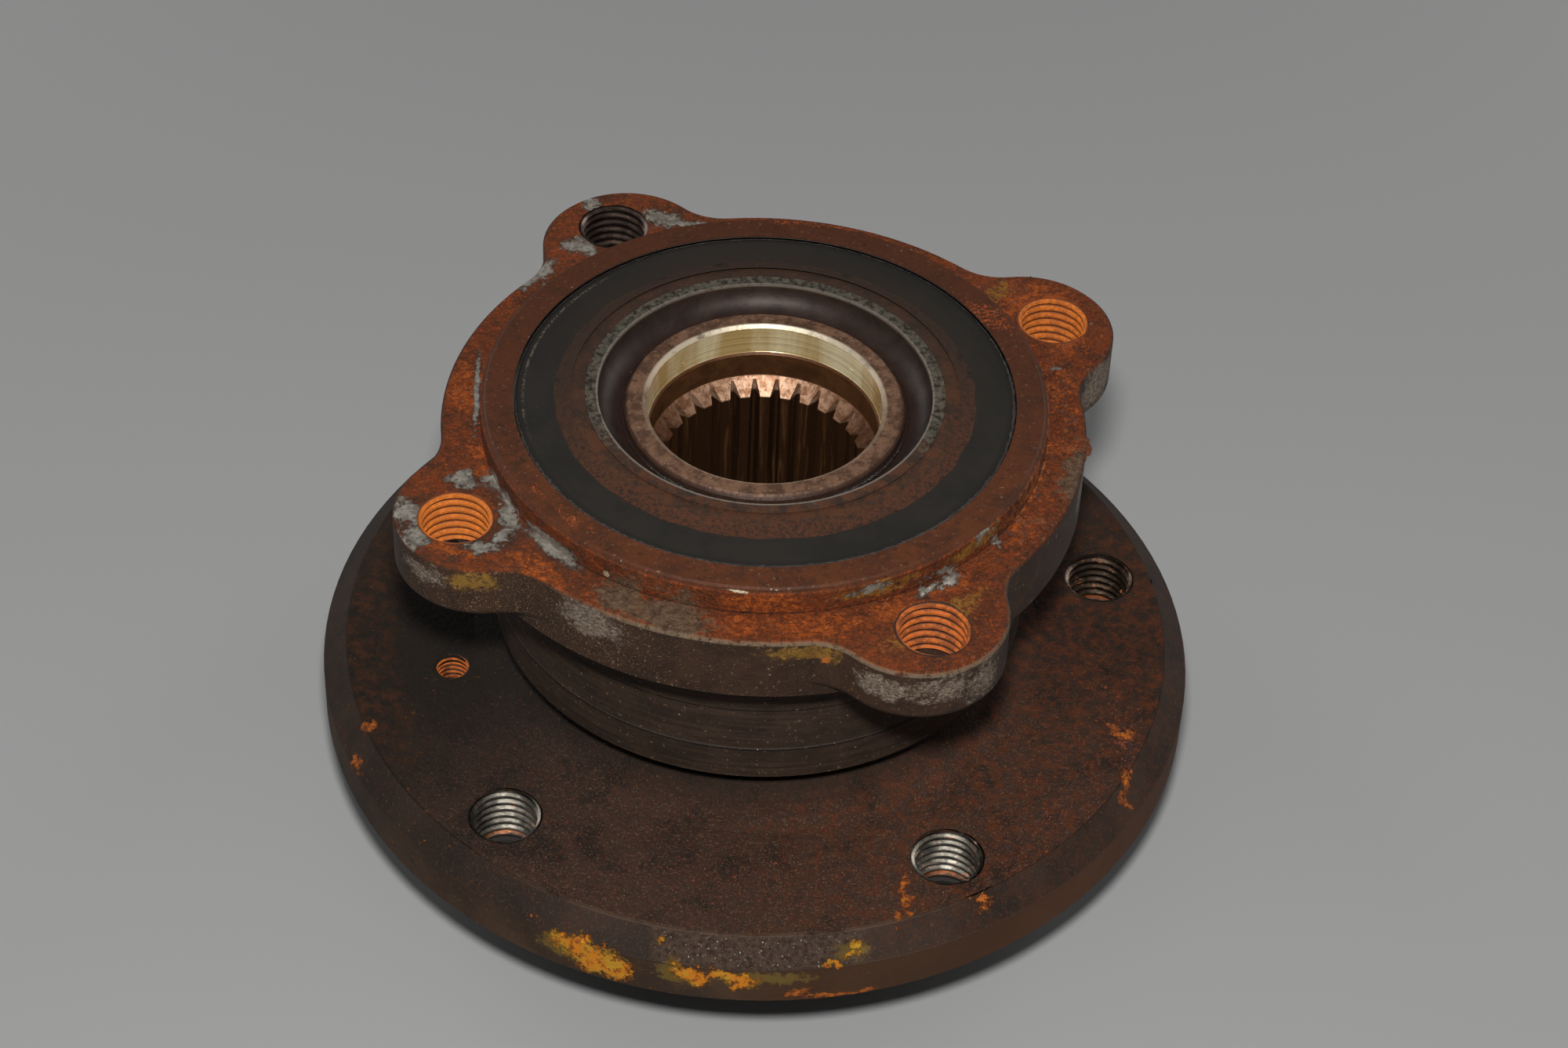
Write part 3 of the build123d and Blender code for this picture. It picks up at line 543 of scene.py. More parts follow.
# Rust spots on the sides.
RING_RUST_SPOTS = [
    (34.8, -55, 72.2, 1.5, 1.5, 0.9, 20),
    (10.2, -50.6, 75.2, 1.1, 1.2, 0.8, 0),
]
# Fresh rust on the pilot rim.
PILOT_FRESH_RUST = [
    (-34.5, -24.5, 83, 3, 0.8, 1, -52),
    (-28, -31.6, 83, 3.4, 0.8, 1, -42),
    (36, 21.5, 83, 5, 2.6, 1, -35),
    (4, 43.8, 83, 4, 1, 1, 0),
]
# Painted glints at the pilot's edge.
PILOT_PAINTED_GLINTS = [
    (-3.4, -45.1, 82.65, 2, 0.7, 0.16, 3),
    (-23, -38.9, 79.4, 0.6, 0.5, 0.6, -30),
]


def ring_body(shade):
    """Turned body: dark film with faint bands round it. Sides of the flange and ears."""
    z, radius, cloud = shade.z, shade.radius, shade.cloud
    speck, glitter = shade.speck, shade.glitter
    bands = shade.noise(1.0, 3.0, 0.6, stretch=(0.05, 0.05, 1.0), shift=(0, 0, 3))
    base = cloud.blend(0.36, 0.62, (38, 29, 23), (48, 37, 29))
    base = base.lay((60, 46, 36), bands.step(0.46, 0.62) * 0.5)
    base = base.lay((92, 60, 40), speck.step(0.62, 0.7) * 0.5)
    lines = most(z.band(46.9, 47.4, 0.1), z.band(55.6, 56.1, 0.1), z.band(43.1, 43.2, 0.06))
    base = base.lay((20, 15, 12), lines * radius.step(44.5, 44.2) * 0.75)
    side = z.step(66.0, 66.4) * radius.step(45.4, 45.8)
    side_tint = cloud.blend(0.36, 0.62, (41, 31, 25), (54, 40, 32))
    side_tint = side_tint.lay((78, 60, 46), speck.step(0.56, 0.66) * 0.5)
    # Pale specks on the sides, thicker round one direction: painted glints.
    sprinkle = shade.sector(-128, 22, 10).mix(0.0, 0.075)
    side_tint = side_tint.lay((140, 124, 100), (glitter + sprinkle).step(0.7, 0.75) * 0.7)
    side_tint = side_tint.filter(0.98, 0.86, 0.74)
    base = base.lay(side_tint, side)
    return base, side


def knuckle_face_rust(shade, base):
    """The face that met the knuckle, and the pilot's wall: brown to orange rust."""
    z, radius, cloud, grain = shade.z, shade.radius, shade.cloud, shade.grain
    speck, glitter = shade.speck, shade.glitter
    face = z.step(77.85, 78.25) * radius.step(45.0, 45.3)
    wall = z.step(78.5, 78.7) * z.step(82.9, 82.6) * radius.step(44.3, 44.6)
    upper = most(face, wall)
    rust = cloud.blend(0.34, 0.62, (66, 40, 27), (92, 50, 27))
    rust = rust.lay((116, 56, 26), grain.step(0.48, 0.6) * 0.6)
    rust = rust.lay((150, 74, 26), speck.step(0.56, 0.64) * 0.75)
    rust = rust.lay((56, 32, 21), speck.step(0.46, 0.38) * 0.6)
    rust = rust.lay((46, 29, 21), grain.step(0.42, 0.34) * 0.8)
    rust = rust.filter(1.0, 0.84, 0.66)
    base = base.lay(rust, upper)
    hot = shade.patches(RING_FRESH_RUST)
    hot = most(hot, shade.patches(RING_SHARP_RUST, 1.4))
    shaded = shade.sector(-142, 16, 8) * cloud.step(0.6, 0.46) * upper
    base = base.lay((54, 38, 28), shaded * 0.5)
    hot_tint = grain.blend(0.4, 0.64, (92, 42, 18), (148, 72, 24))
    hot_tint = hot_tint.lay((182, 96, 32), speck.step(0.57, 0.66) * 0.8)
    hot_tint = hot_tint.lay((62, 33, 20), speck.step(0.44, 0.37) * 0.75)
    base = base.lay(hot_tint, hot * upper * 0.9)
    dull = shade.patches(RING_DULL_SCALE)
    crumbly = shade.patches(RING_CRUMBLED)
    base = base.lay((66, 35, 22), crumbly * upper * speck.step(0.58, 0.48) * 0.6)
    dull_tint = grain.blend(0.38, 0.6, (60, 45, 34), (92, 74, 56))
    # Near-white specks on the dull scale: painted glints.
    dull_tint = dull_tint.lay((170, 158, 138), glitter.step(0.68, 0.73))
    base = base.lay(dull_tint, dull * upper * 0.9)
    olive = shade.patches(RING_OLIVE_STAIN)
    olive_tint = cloud.blend(0.4, 0.58, (112, 78, 30), (140, 104, 38))
    base = base.lay(olive_tint, olive * 0.6 * grain.step(0.36, 0.52))
    return base, face, upper


def knuckle_face_wear(shade, base, side, face, upper):
    """Bare grey metal where the knuckle rubbed, scrapes and spots on the sides."""
    z, grain, speck = shade.z, shade.grain, shade.speck
    bare = shade.patches(RING_BARE_METAL)
    bare = most(bare, shade.patches(RING_RUBBED_LINES, 1.2))
    bare_tint = grain.blend(0.36, 0.62, (104, 97, 88), (154, 149, 138))
    bare_tint = bare_tint.lay((120, 76, 48), speck.step(0.6, 0.68) * 0.6)
    bare_show = bare * upper
    base = base.lay(bare_tint, bare_show)
    scrape = shade.patches(RING_SCRAPED_SIDE)
    streaks = shade.noise(1.7, 8.0, 0.78, stretch=(1, 1, 1.8), bend=0.4)
    scrape_tint = streaks.blend(0.42, 0.62, (82, 68, 57), (156, 142, 126))
    scraped = scrape * side * (1.0 - face)
    base = base.lay(scrape_tint, scraped * 0.8)
    # A pale line along the flange's top edge at the front: painted highlight.
    painted_lip_highlight = side * z.band(77.75, 78.3, 0.15) * shade.sector(-84, 34, 16) * grain.step(0.36, 0.5)
    base = base.lay((120, 104, 84), painted_lip_highlight * 0.6)
    spot = shade.patches(RING_RUST_SPOTS)
    base = base.lay((150, 84, 32), spot)
    return base, bare_show, scraped


def pilot_rim(shade, base, upper):
    """Even red-brown rim, with a bright line of rust at the pilot's foot and two painted glints.
    """
    radius, cloud, grain = shade.radius, shade.cloud, shade.grain
    speck, glitter = shade.speck, shade.glitter
    top = shade.z.step(82.4, 82.7)
    rim_tint = cloud.blend(0.36, 0.6, (60, 38, 27), (80, 47, 29))
    rim_tint = rim_tint.lay((64, 37, 25), shade.sector(90, 105, 40) * 0.6)
    rim_tint = rim_tint.lay(
        (104, 58, 36), grain.step(0.56, 0.66) * shade.sector(-90, 70, 30) * 0.6,
    )
    rim_tint = rim_tint.lay((44, 31, 24), grain.step(0.44, 0.36) * 0.7)
    rim_tint = rim_tint.lay((108, 60, 34), speck.step(0.58, 0.66) * 0.5)
    # Pale specks on the rim: painted glints.
    rim_tint = rim_tint.lay((136, 112, 92), glitter.step(0.72, 0.76) * 0.7)
    rim_tint = rim_tint.filter(0.9, 0.76, 0.62)
    base = base.lay(rim_tint, top)
    rim_hot = shade.patches(PILOT_FRESH_RUST)
    base = base.lay((140, 66, 28), rim_hot * top * speck.step(0.5, 0.58) * 0.9)
    foot = (
        radius.band(45.1, 45.5, 0.15) * shade.sector(-12, 17, 7) * upper * grain.step(0.47, 0.58)
    )
    base = base.lay((168, 108, 60), foot * 0.55)
    # Near-white spots at the pilot's edge: painted glints, made a little metallic and smooth too.
    glint = shade.patches(PILOT_PAINTED_GLINTS, 1.0)
    base = base.lay((196, 182, 156), glint)
    return base, top, glint


def ring_material():
    """The outer ring: filmed body, rusty knuckle face and pilot."""
    shade = Shade("ring_rusted_steel")
    shade.cloud = shade.noise(0.16, 6.0, 0.68, shift=(2, 8, 1), bend=0.6)
    shade.grain = shade.noise(0.85, 7.0, 0.72, shift=(6, 2, 9))
    shade.speck = shade.noise(2.1, 5.0, 0.72, shift=(3, 1, 5))
    shade.glitter = shade.noise(4.4, 2.0, 0.5, shift=(8, 2, 2))
    base, side = ring_body(shade)
    base, face, upper = knuckle_face_rust(shade, base)
    base, bare_show, scraped = knuckle_face_wear(shade, base, side, face, upper)
    base, top, glint = pilot_rim(shade, base, upper)

    # raceways and seal seats inside
    inside = shade.radius.step(40.2, 40.0) * shade.z.step(83.1, 82.9)
    base = base.lay(GROUND_STEEL, inside)

    metallic = most(bare_show * 0.55, scraped * 0.3, glint * 0.6, inside)
    rough = upper.mix(0.6, shade.grain.mix(0.72, 0.94))
    for mask, value in ((top, 0.6), (bare_show, 0.5), (glint, 0.34), (inside, 0.18)):
        rough = mask.mix(rough, value)
    coarse = rust_grain(shade, 0.95)
    lathe = shade.noise(1.0, 2.0, 0.5, stretch=(0.02, 0.02, 5.0))
    calm = coarse * 0.22 + lathe * 0.08
    height = (upper * (1.0 - bare_show)).mix(calm, coarse)
    height = inside.mix(height, 0.0)
    return shade.finish(base, rough, metallic, height, 0.40, 0.15)


def inner_ring_material():
    """Brown clamp face with a worn band, dark mouth, ground seats."""
    shade = Shade("inner_ring_steel")
    z, radius = shade.z, shade.radius
    cloud = shade.noise(0.26, 6.0, 0.68, shift=(2, 5, 1), bend=0.6)
    grain = shade.noise(1.0, 6.0, 0.72, shift=(6, 3, 9))
    speck = shade.noise(2.3, 4.0, 0.7, shift=(6, 6, 6))
    face = cloud.blend(0.36, 0.62, (41, 30, 23), (54, 36, 25))
    front = shade.sector(-80, 95, 30)
    face = face.lay((74, 43, 25), front * shade.noise(0.45, 5.0, 0.68).step(0.44, 0.58) * 0.75)
    face = face.lay((112, 80, 58), speck.step(0.6, 0.68) * 0.5)
    band = radius.step(29.0, 28.7) * radius.step(26.5, 26.65) * z.step(83.55, 83.7)
    worn = grain.blend(0.36, 0.62, (38, 32, 26), (98, 92, 80))
    kept = shade.sector(-88, 62, 30).mix(1.0, 0.12)
    show = kept + (cloud - 0.5) * 2.2
    worn_show = band * show.step(0.35, 0.65)
    base = face.lay(worn, worn_show)
    edge = radius.band(26.45, 26.9, 0.1) * z.step(83.3, 83.5) * grain.step(0.3, 0.46)
    base = base.lay((140, 132, 120), edge * 0.6)
    mouth = radius.step(26.6, 26.45) * z.step(78.0, 78.6)
    mouth_tint = cloud.blend(0.3, 0.66, (38, 28, 23), (50, 40, 35))
    mouth_tint = mouth_tint.lay((46, 28, 22), radius.step(24.4, 23.4) * 0.7)
    base = base.lay(mouth_tint, mouth)
    ground = most(z.step(79.6, 79.2), radius.step(31.05, 31.15))
    ground = ground * radius.step(23.0, 23.3)
    base = base.lay(GROUND_STEEL, ground)
    metallic = most(worn_show * 0.45, edge * 0.5, mouth * 0.35, ground)
    rough = worn_show.mix(grain.mix(0.58, 0.78), 0.48)
    rough = mouth.mix(rough, 0.46)
    rough = ground.mix(rough, 0.16)
    height = grain * most(mouth * 0.6, ground).mix(1.0, 0.12)
    return shade.finish(base, rough, metallic, height, 0.12, 0.2)


def encoder_material():
    """Black rubber, dusty towards the inner ring."""
    shade = Shade("encoder_rubber")
    radius = shade.radius
    cloud = shade.noise(0.10, 5.0, 0.62)
    fine = shade.noise(1.6, 5.0, 0.68)
    base = cloud.blend(0.38, 0.62, (29, 27, 24), (34, 31, 27))
    ragged = shade.noise(0.3, 6.0, 0.68, shift=(1, 2, 3)) * 5.0 + radius
    dusty = ragged.step(36.2, 33.8)
    dust_tint = shade.noise(1.6, 6.0, 0.72, shift=(4, 1, 3)).blend(
        0.4, 0.62, (40, 29, 23), (52, 36, 27)
    )
    dust_tint = dust_tint.lay((72, 42, 27), shade.sector(-80, 80, 30) * 0.6)
    base = base.lay(dust_tint, dusty * 0.85)
    rear = shade.sector(90, 70, 40) * radius.step(38.0, 34.0)
    base = base.lay((40, 31, 25), rear * 0.55)
    scuff = radius.band(38.3, 38.7, 0.15) * shade.sector(165, 26, 12) * fine.step(0.44, 0.58)
    base = base.lay((96, 88, 76), scuff * 0.7)
    specks = shade.noise(3.6, 2.0, 0.5, shift=(8, 1, 1)).step(0.735, 0.77)
    base = base.lay((118, 110, 98), specks * 0.6)
    edge = radius.step(38.4, 38.9)
    base = base.lay((26, 23, 20), edge * 0.7)
    rough = fine.mix(0.62, 0.8)
    return shade.finish(base, rough, 0.0, fine, 0.06, 0.15)


def bright_steel(name, tone, roughness, marks):
    """Ground steel with fine circumferential marks and faint staining."""
    shade = Shade(name)
    stain = shade.noise(0.25, 4.0, 0.6)
    lathe = shade.noise(1.0, 2.0, 0.5, stretch=(0.05, 0.05, marks))
    base = shade.mix(stain.step(0.45, 0.7), tone, tuple((c * 0.72 for c in tone)))
    rough = stain.mix(roughness, roughness + 0.12)
    return shade.finish(base, rough, 1.0, lathe, 0.004)


def moulded(name, tone, roughness):
    """Moulded polymer or rubber with a fine grain."""
    shade = Shade(name)
    cloud = shade.noise(0.3, 4.0, 0.6)
    fine = shade.noise(2.4, 3.0, 0.6)
    base = shade.mix(cloud, tuple(c * 0.8 for c in tone), tuple(c * 1.2 for c in tone))
    return shade.finish(base, fine.mix(roughness - 0.06, roughness + 0.06), 0.0, fine, 0.02)


def grease_material():
    """Black, gritty grease with wet glints; its pale specks are painted glints."""
    shade = Shade("old_grease")
    grit = shade.noise(1.8, 6.0, 0.75)
    specks = shade.noise(3.4, 2.0, 0.5, shift=(2, 8, 1)).step(0.68, 0.73)
    base = grit.blend(0.4, 0.62, (20, 17, 15), (42, 33, 27))
    # Pale specks: painted wet glints.
    base = base.lay((120, 106, 90), specks * 0.5)
    return shade.finish(base, grit.mix(0.22, 0.5), 0.0, grit, 0.25)


def crumb_material():
    """Dark red scale that stands a little off the flange."""
    shade = Shade("red_scale")
    cloud = shade.noise(0.9, 4.0, 0.6)
    base = cloud.blend(0.4, 0.6, (48, 30, 23), (104, 50, 27))
    return shade.finish(base, 0.85, 0.0, None, 0.1, 0.3)


def dust_material():
    """Packed brown dust in the step between the inner ring and the encoder."""
    shade = Shade("packed_dust")
    cloud = shade.noise(1.6, 6.0, 0.72)
    front = shade.sector(-80, 80, 30)
    base = cloud.blend(0.36, 0.64, (42, 30, 23), (54, 38, 28))
    base = base.lay((78, 44, 28), front * cloud.step(0.38, 0.62) * 0.75)
    return shade.finish(base, 0.85, 0.0, cloud, 0.15, 0.15)


def lump_material():
    """Thick crumbling rust."""
    shade = Shade("rust_lump")
    grit = shade.noise(1.2, 7.0, 0.75)
    cloud = shade.noise(0.5, 5.0, 0.65, shift=(3, 1, 2))
    base = cloud.blend(0.38, 0.62, (66, 37, 24), (112, 60, 28))
    base = base.lay((150, 82, 32), grit.step(0.56, 0.66) * 0.7)
    return shade.finish(base, 0.9, 0.0, grit, 0.3, 0.3)


def thread_material(name, tones, rust, major, bright, centre, painted_shade_top=0.0):
    """Thread flanks: painted light at the crests, painted shade darkest at the roots, rust over.

    The radius is measured from the hole's own axis, centre. Painted shade darkens the thread
    below the height given as the last argument."""
    light, deep = tones
    shade = Shade(name)
    own = length(shade.x - centre[0], shade.y - centre[1])
    grain = shade.noise(1.3, 6.0, 0.72)
    cloud = shade.noise(0.42, 5.0, 0.65, shift=(3, 3, 3))
    near_crest = own.step(major - 0.22, major - 0.5)
    # Light crests and dark roots: painted light and painted shade.
    base = shade.mix(near_crest, deep, light)
    base = shade.mix(cloud.step(0.56, 0.44) * 0.55, base, deep)
    amount = ((grain + cloud) * 0.5).step(0.62 - 0.35 * rust, 0.7 - 0.35 * rust)
    rusty = grain.blend(0.36, 0.64, (108, 50, 20), (192, 98, 28))
    base = shade.mix(amount * near_crest * 0.8, base, rusty)
    ragged = grain * 1.2 + shade.z
    # Below the given height the thread is painted near black: painted shade at the hole's bottom.
    above_painted_shade = ragged.step(painted_shade_top + 0.3, painted_shade_top + 0.9)
    base = base.lay((128, 66, 26), ragged.step(painted_shade_top + 1.6, painted_shade_top + 0.9) * 0.7)
    base = shade.mix(above_painted_shade, tint(30, 24, 19), base)
    metallic = (1.0 - amount) * above_painted_shade * bright
    rough = metallic.mix(0.8, 0.3)
    return shade.finish(base, rough, metallic, grain, 0.06, 0.35)


# ---------------------------------------------------------------- added shapes
def add_piece(name, mesh, material, body, slot, smooth=False):
    """Turns a bmesh in millimetres into a piece that rides on a body."""
    bmesh.ops.scale(mesh, vec=(MM, MM, MM), verts=mesh.verts)
    data = bpy.data.meshes.new(name)
    mesh.to_mesh(data)
    mesh.free()
    for face in data.polygons:
        face.use_smooth = smooth
    piece = bpy.data.objects.new(name, data)
    bpy.context.scene.collection.objects.link(piece)
    data.materials.append(material)
    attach(piece, body)
    return piece


def stitch(mesh, rings, around, across):
    """Faces between neighbouring rings. around and across close the loops."""
    sides = len(rings[0])
    for low, high in zip(rings, rings[1:] + rings[:1] if around else rings[1:]):
        for k in range(sides if across else sides - 1):
            after = (k + 1) % sides
            mesh.faces.new((low[k], high[k], high[after], low[after]))
    return mesh


def round_point(centre, reach, angle, height):
    return centre[0] + reach * math.cos(angle), centre[1] + reach * math.sin(angle), height


def turned_mesh(centre, corner, steps, sides, across=False):
    """A band round an axis. corner gives the radius and height of corner k at an angle."""
    mesh = bmesh.new()
    rings = []
    for i in range(steps):
        angle = 2 * math.pi * i / steps
        ring = []
        for k in range(sides):
            reach, height = corner(angle, k)
            ring.append(mesh.verts.new(round_point(centre, reach, angle, height)))
        rings.append(ring)
    return stitch(mesh, rings, True, across)


def thread_mesh(centre, major, pitch, bottom, top, mouth):
    """An internal 60 degree thread, from the hole's wall inward, run out at both chamfers."""
    height = THREAD_HEIGHT * pitch
    minor = major - height
    crest = pitch / 4
    flank = (pitch - crest - pitch / 8) / 2
    foot = major + 0.015
    fall = flank + crest
    profile = (0.0, foot), (flank, minor), (fall, minor), (fall + flank, foot)
    steps = 72
    turns = int(math.ceil((top - bottom) / pitch)) + 2
    mesh = bmesh.new()
    rows = []
    for i in range(turns * steps + 1):
        angle = 2 * math.pi * i / steps
        rise = bottom - 1.5 * pitch + pitch * i / steps
        row = []
        for along, radius in profile:
            z = rise + along
            cut = max(0.0, bottom + mouth - z, z - (top - mouth))
            cone = minor + 0.10 + cut
            reach = radius if cut <= 0 else max(radius, min(cone, major + cut))
            held = min(max(z, bottom + 0.05), top - 0.05)
            row.append(mesh.verts.new(round_point(centre, reach, angle, held)))
        rows.append(row)
    stitch(mesh, rows, False, False)
    bmesh.ops.dissolve_degenerate(mesh, edges=mesh.edges, dist=1e-4)
    return mesh


def collar_mesh(centre, top, outer, inner, seed, depth=0.62):
    """Scale and rust that round the mouth of a hole and narrow it."""
    profile = (
        (outer, 0.0), (inner + 0.45, 0.015), (inner + 0.16, -0.05),
        (inner + 0.03, -0.3 * depth), (inner, -0.65 * depth), (inner + 0.12, -depth),
    )

    def corner(angle, k):
        spot = Vector((math.cos(angle) * 3, math.sin(angle) * 3, k * 0.3 + seed))
        rough = 0.0 if k == 0 else 0.10 * noise.noise(spot) + 0.05 * noise.noise(spot * 3.3)
        return profile[k][0] + rough, top + profile[k][1]

    return turned_mesh(centre, corner, steps=120, sides=len(profile))


def circle_places(circle):
    """The points of a circle of holes."""
    reach, count, start = circle
    places = []
    for i in range(count):
        angle = math.radians(start + i * 360 / count)
        places.append((reach * math.cos(angle), reach * math.sin(angle)))
    return places


def threaded_hole(kind, number, look, shape, collar, wearer):
    """A thread in its own look, and its mouth in the look of the CAD piece round it."""
    around, body, slot = wearer
    name = f"{kind}_thread{number}"
    add_piece(name, thread_mesh(*shape), thread_material(name, *look), body, slot)
    mouth = collar_mesh(shape[0], shape[4], *collar)
    add_piece(f"{kind}_mouth{number}", mouth, around, body, slot, True)


def threads(hub_look, ring_look):
    """The five bolt holes and the screw hole of the hub, and the four ear holes of the ring.

    Tones are the colours of a thread's crest and root, painted light and painted shade."""
    steel = (tint(140, 134, 122), tint(34, 28, 24))
    dull_steel = (tint(98, 82, 68), tint(34, 26, 20))
    orange = (tint(232, 136, 34), tint(96, 46, 18))
    brown = (tint(176, 90, 32), tint(34, 19, 12))
    dark = (tint(104, 88, 78), tint(36, 27, 23))
    hub = (hub_look, "hub_side", "hub_steel")
    ring = (ring_look, "ring_side", "ring_steel")
    lug_rust = (0.22, 0.20, 0.20, 0.14, 0.20)
    for number, centre in enumerate(circle_places(LUG_CIRCLE), 1):
        tones = dull_steel if number == 1 else steel
        look = (tones, lug_rust[number - 1], BOLT_MAJOR, 0.95, centre, THREAD_PAINTED_SHADE_TOP)
        shape = (centre, BOLT_MAJOR, BOLT_PITCH, WHEEL_FACE_Z, BACK_FACE_Z, 0.4)
        threaded_hole("lug", f"_{number}", look, shape, (6.5, 5.78, number), hub)
    ear_looks = ((orange, 0.70, 0.0), (dark, 0.12, 0.9), (orange, 0.60, 0.0), (brown, 0.40, 0.0))
    for number, centre in enumerate(circle_places(EAR_CIRCLE), 1):
        tones, rust, shine = ear_looks[number - 1]
        look = (tones, rust, BOLT_MAJOR, shine, centre)
        shape = (centre, BOLT_MAJOR, BOLT_PITCH, EAR_BOTTOM_Z, KNUCKLE_FACE_Z, 0.3)
        threaded_hole("ear", f"_{number}", look, shape, (6.45, 5.80, number + 7), ring)
    centre = circle_places(SCREW_CIRCLE)[0]
    look = (brown, 0.5, SCREW_MAJOR, 0.5, centre)
    shape = (centre, SCREW_MAJOR, SCREW_PITCH, WHEEL_FACE_Z, BACK_FACE_Z, 0.2)
    threaded_hole("screw", "", look, shape, (SCREW_MOUTH, 2.62, 21, 2.2), hub)


def bead_mesh(radius, height, thickness, middle, half_width, seed):
    """A lumpy bead of grease round the axis, thick about the angle middle."""
    sides = 8

    def corner(angle, k):
        way = math.degrees(angle) - middle
        way = abs((way + 180) % 360 - 180)
        body = 0.30 + 0.70 * max(0.0, min(1.0, (half_width - way) / 25 + 0.5))
        turn = 2 * math.pi * k / sides
        spot = Vector((radius * math.cos(angle), radius * math.sin(angle), k * 0.7 + seed))
        uneven = 0.75 + 0.55 * noise.noise(spot * 0.9) + 0.35 * noise.noise(spot * 2.6)
        lumpy = body * thickness * uneven
        return radius + lumpy * math.cos(turn), height + lumpy * math.sin(turn) * 0.8

    return turned_mesh((0, 0), corner, steps=720, sides=sides, across=True)


def dust_mesh():
    """A fillet of dust round the step from the inner ring down to the encoder."""
    profile = (
        (30.95, CLAMP_FACE_Z - 0.03), (31.4, CLAMP_FACE_Z - 0.16), (32.2, ENCODER_FACE_Z + 0.22),
        (33.4, ENCODER_FACE_Z + 0.02), (33.6, ENCODER_FACE_Z - 0.04),
    )

    def corner(angle, k):
        radius, height = profile[k]
        spot = Vector((math.cos(angle) * 20, math.sin(angle) * 20, k * 0.8))
        return radius + (0.0 if k == 0 else 0.5 * noise.noise(spot * 0.6) * k / 4), height

    return turned_mesh((0, 0), corner, steps=360, sides=len(profile))


def lump_mesh(centre, size, seed):
    """A crumbling lump of rust."""
    mesh = bmesh.new()
    bmesh.ops.create_icosphere(mesh, subdivisions=5, radius=1.0)
    for vertex in mesh.verts:
        way = vertex.co.copy()
        bulge = 1.0 + 0.35 * noise.noise(way * 1.6 + Vector((seed, 0, 0)))
        bulge += 0.20 * noise.noise(way * 4.5 + Vector((0, seed, 0)))
        bulge += 0.10 * noise.noise(way * 11.0)
        vertex.co = Vector(way[k] * size[k] * bulge + centre[k] for k in range(3))
    return mesh


def grit_mesh(spots, inside, surface, seed):
    """Loose crumbs of rust half sunk in a flat face.

    Each spot is centre x, centre y, reach x, reach y, turn, count and largest radius.
    inside gives the distance to the face's edge, and no crumb hangs over it."""
    pick = random.Random(seed)
    template = bmesh.new()
    bmesh.ops.create_icosphere(template, subdivisions=1, radius=1.0)
    directions = [vertex.co.copy() for vertex in template.verts]
    corners = [tuple(vertex.index for vertex in face.verts) for face in template.faces]
    template.free()
    points, faces = [], []
    for x, y, reach_x, reach_y, turn, count, largest in spots:
        cosine, sine = math.cos(math.radians(turn)), math.sin(math.radians(turn))
        for _ in range(count):
            along, across = pick.gauss(0, 0.5) * reach_x, pick.gauss(0, 0.5) * reach_y
            size = largest * pick.uniform(0.30, 1.0) ** 1.5
            place_x = x + along * cosine - across * sine
            place_y = y + along * sine + across * cosine
            place = Vector((place_x, place_y, surface + size * 0.2))
            stretch = ((0.7, 1.3), (0.7, 1.3), (0.5, 0.9))
            shape = Vector([size * pick.uniform(*limits) for limits in stretch])
            shift = Vector([pick.uniform(0, 50) for _ in range(3)])
            if inside(place.x, place.y) < 0.6 * size:
                continue
            start = len(points)
            for way in directions:
                bulge = 1.0 + 0.8 * noise.noise(way * 1.8 + shift)
                points.append([way[k] * shape[k] * bulge + place[k] for k in range(3)])
            faces.extend(tuple(start + k for k in corner) for corner in corners)
    return mesh_from(points, faces)


def mesh_from(points, faces):
    mesh = bmesh.new()
    verts = [mesh.verts.new(point) for point in points]
    for face in faces:
        mesh.faces.new([verts[k] for k in face])
    return mesh


def from_circle(x, y, circle):
    """The distance from a point to the nearest centre in a circle of holes or rounds."""
    return min(math.hypot(x - place_x, y - place_y) for place_x, place_y in circle_places(circle))


def on_knuckle_face(x, y):
    """How far inside the ring's knuckle face a point lies, in millimetres."""
    radius = math.hypot(x, y)
    disc = max(KNUCKLE_FACE_RADIUS - radius, EAR_ROUND_RADIUS - from_circle(x, y, EAR_ROUNDS))
    return min(disc, from_circle(x, y, EAR_CIRCLE) - BOLT_MOUTH, radius - PILOT_RADIUS)


def on_back_face(x, y):
    """How far inside the flange's back face a point lies, in millimetres."""
    radius = math.hypot(x, y)
    disc = min(BACK_FACE_RADIUS - radius, radius - BACK_FACE_BORE)
    screw = from_circle(x, y, SCREW_CIRCLE) - SCREW_MOUTH
    return min(disc, from_circle(x, y, LUG_CIRCLE) - BOLT_MOUTH, screw)


def crust_mesh(inside, surface, weight, seed, reach, step, lift):
    """A crumbling crust over a flat face, sunk where it is bare.

    inside gives the distance to the face's edge, weight the share of lift at a place. The
    points stand step apart, out to reach from the axis."""
    count = int(2 * reach / step)
    rows = {}
    points, faces = [], []
    for i in range(count + 1):
        for j in range(count + 1):
            x, y = -reach + i * step, -reach + j * step
            edge = inside(x, y)
            if edge < 0.05:
                continue
            share = weight(x, y)
            if share <= 0.0:
                continue
            spot = Vector((x * 0.42, y * 0.42, seed))
            rise = noise.noise(spot) + 0.62 * noise.noise(spot * 2.3)
            rise += 0.42 * noise.noise(spot * 5.1) + 0.20 * noise.noise(spot * 11.0)
            height = lift * share * (rise + 0.10) * min(1.0, edge / 0.8)
            rows[i, j] = len(points)
            points.append((x, y, surface + max(height, -0.06)))
    for (i, j), index in rows.items():
        others = [rows.get(key) for key in ((i + 1, j), (i + 1, j + 1), (i, j + 1))]
        if None in others:
            continue
        square = [index, *others]
        if max(points[k][2] for k in square) > surface - 0.05:
            faces.append(square)
    used = sorted({k for face in faces for k in face})
    place = {k: n for n, k in enumerate(used)}
    return mesh_from([points[k] for k in used], [[place[k] for k in face] for face in faces])


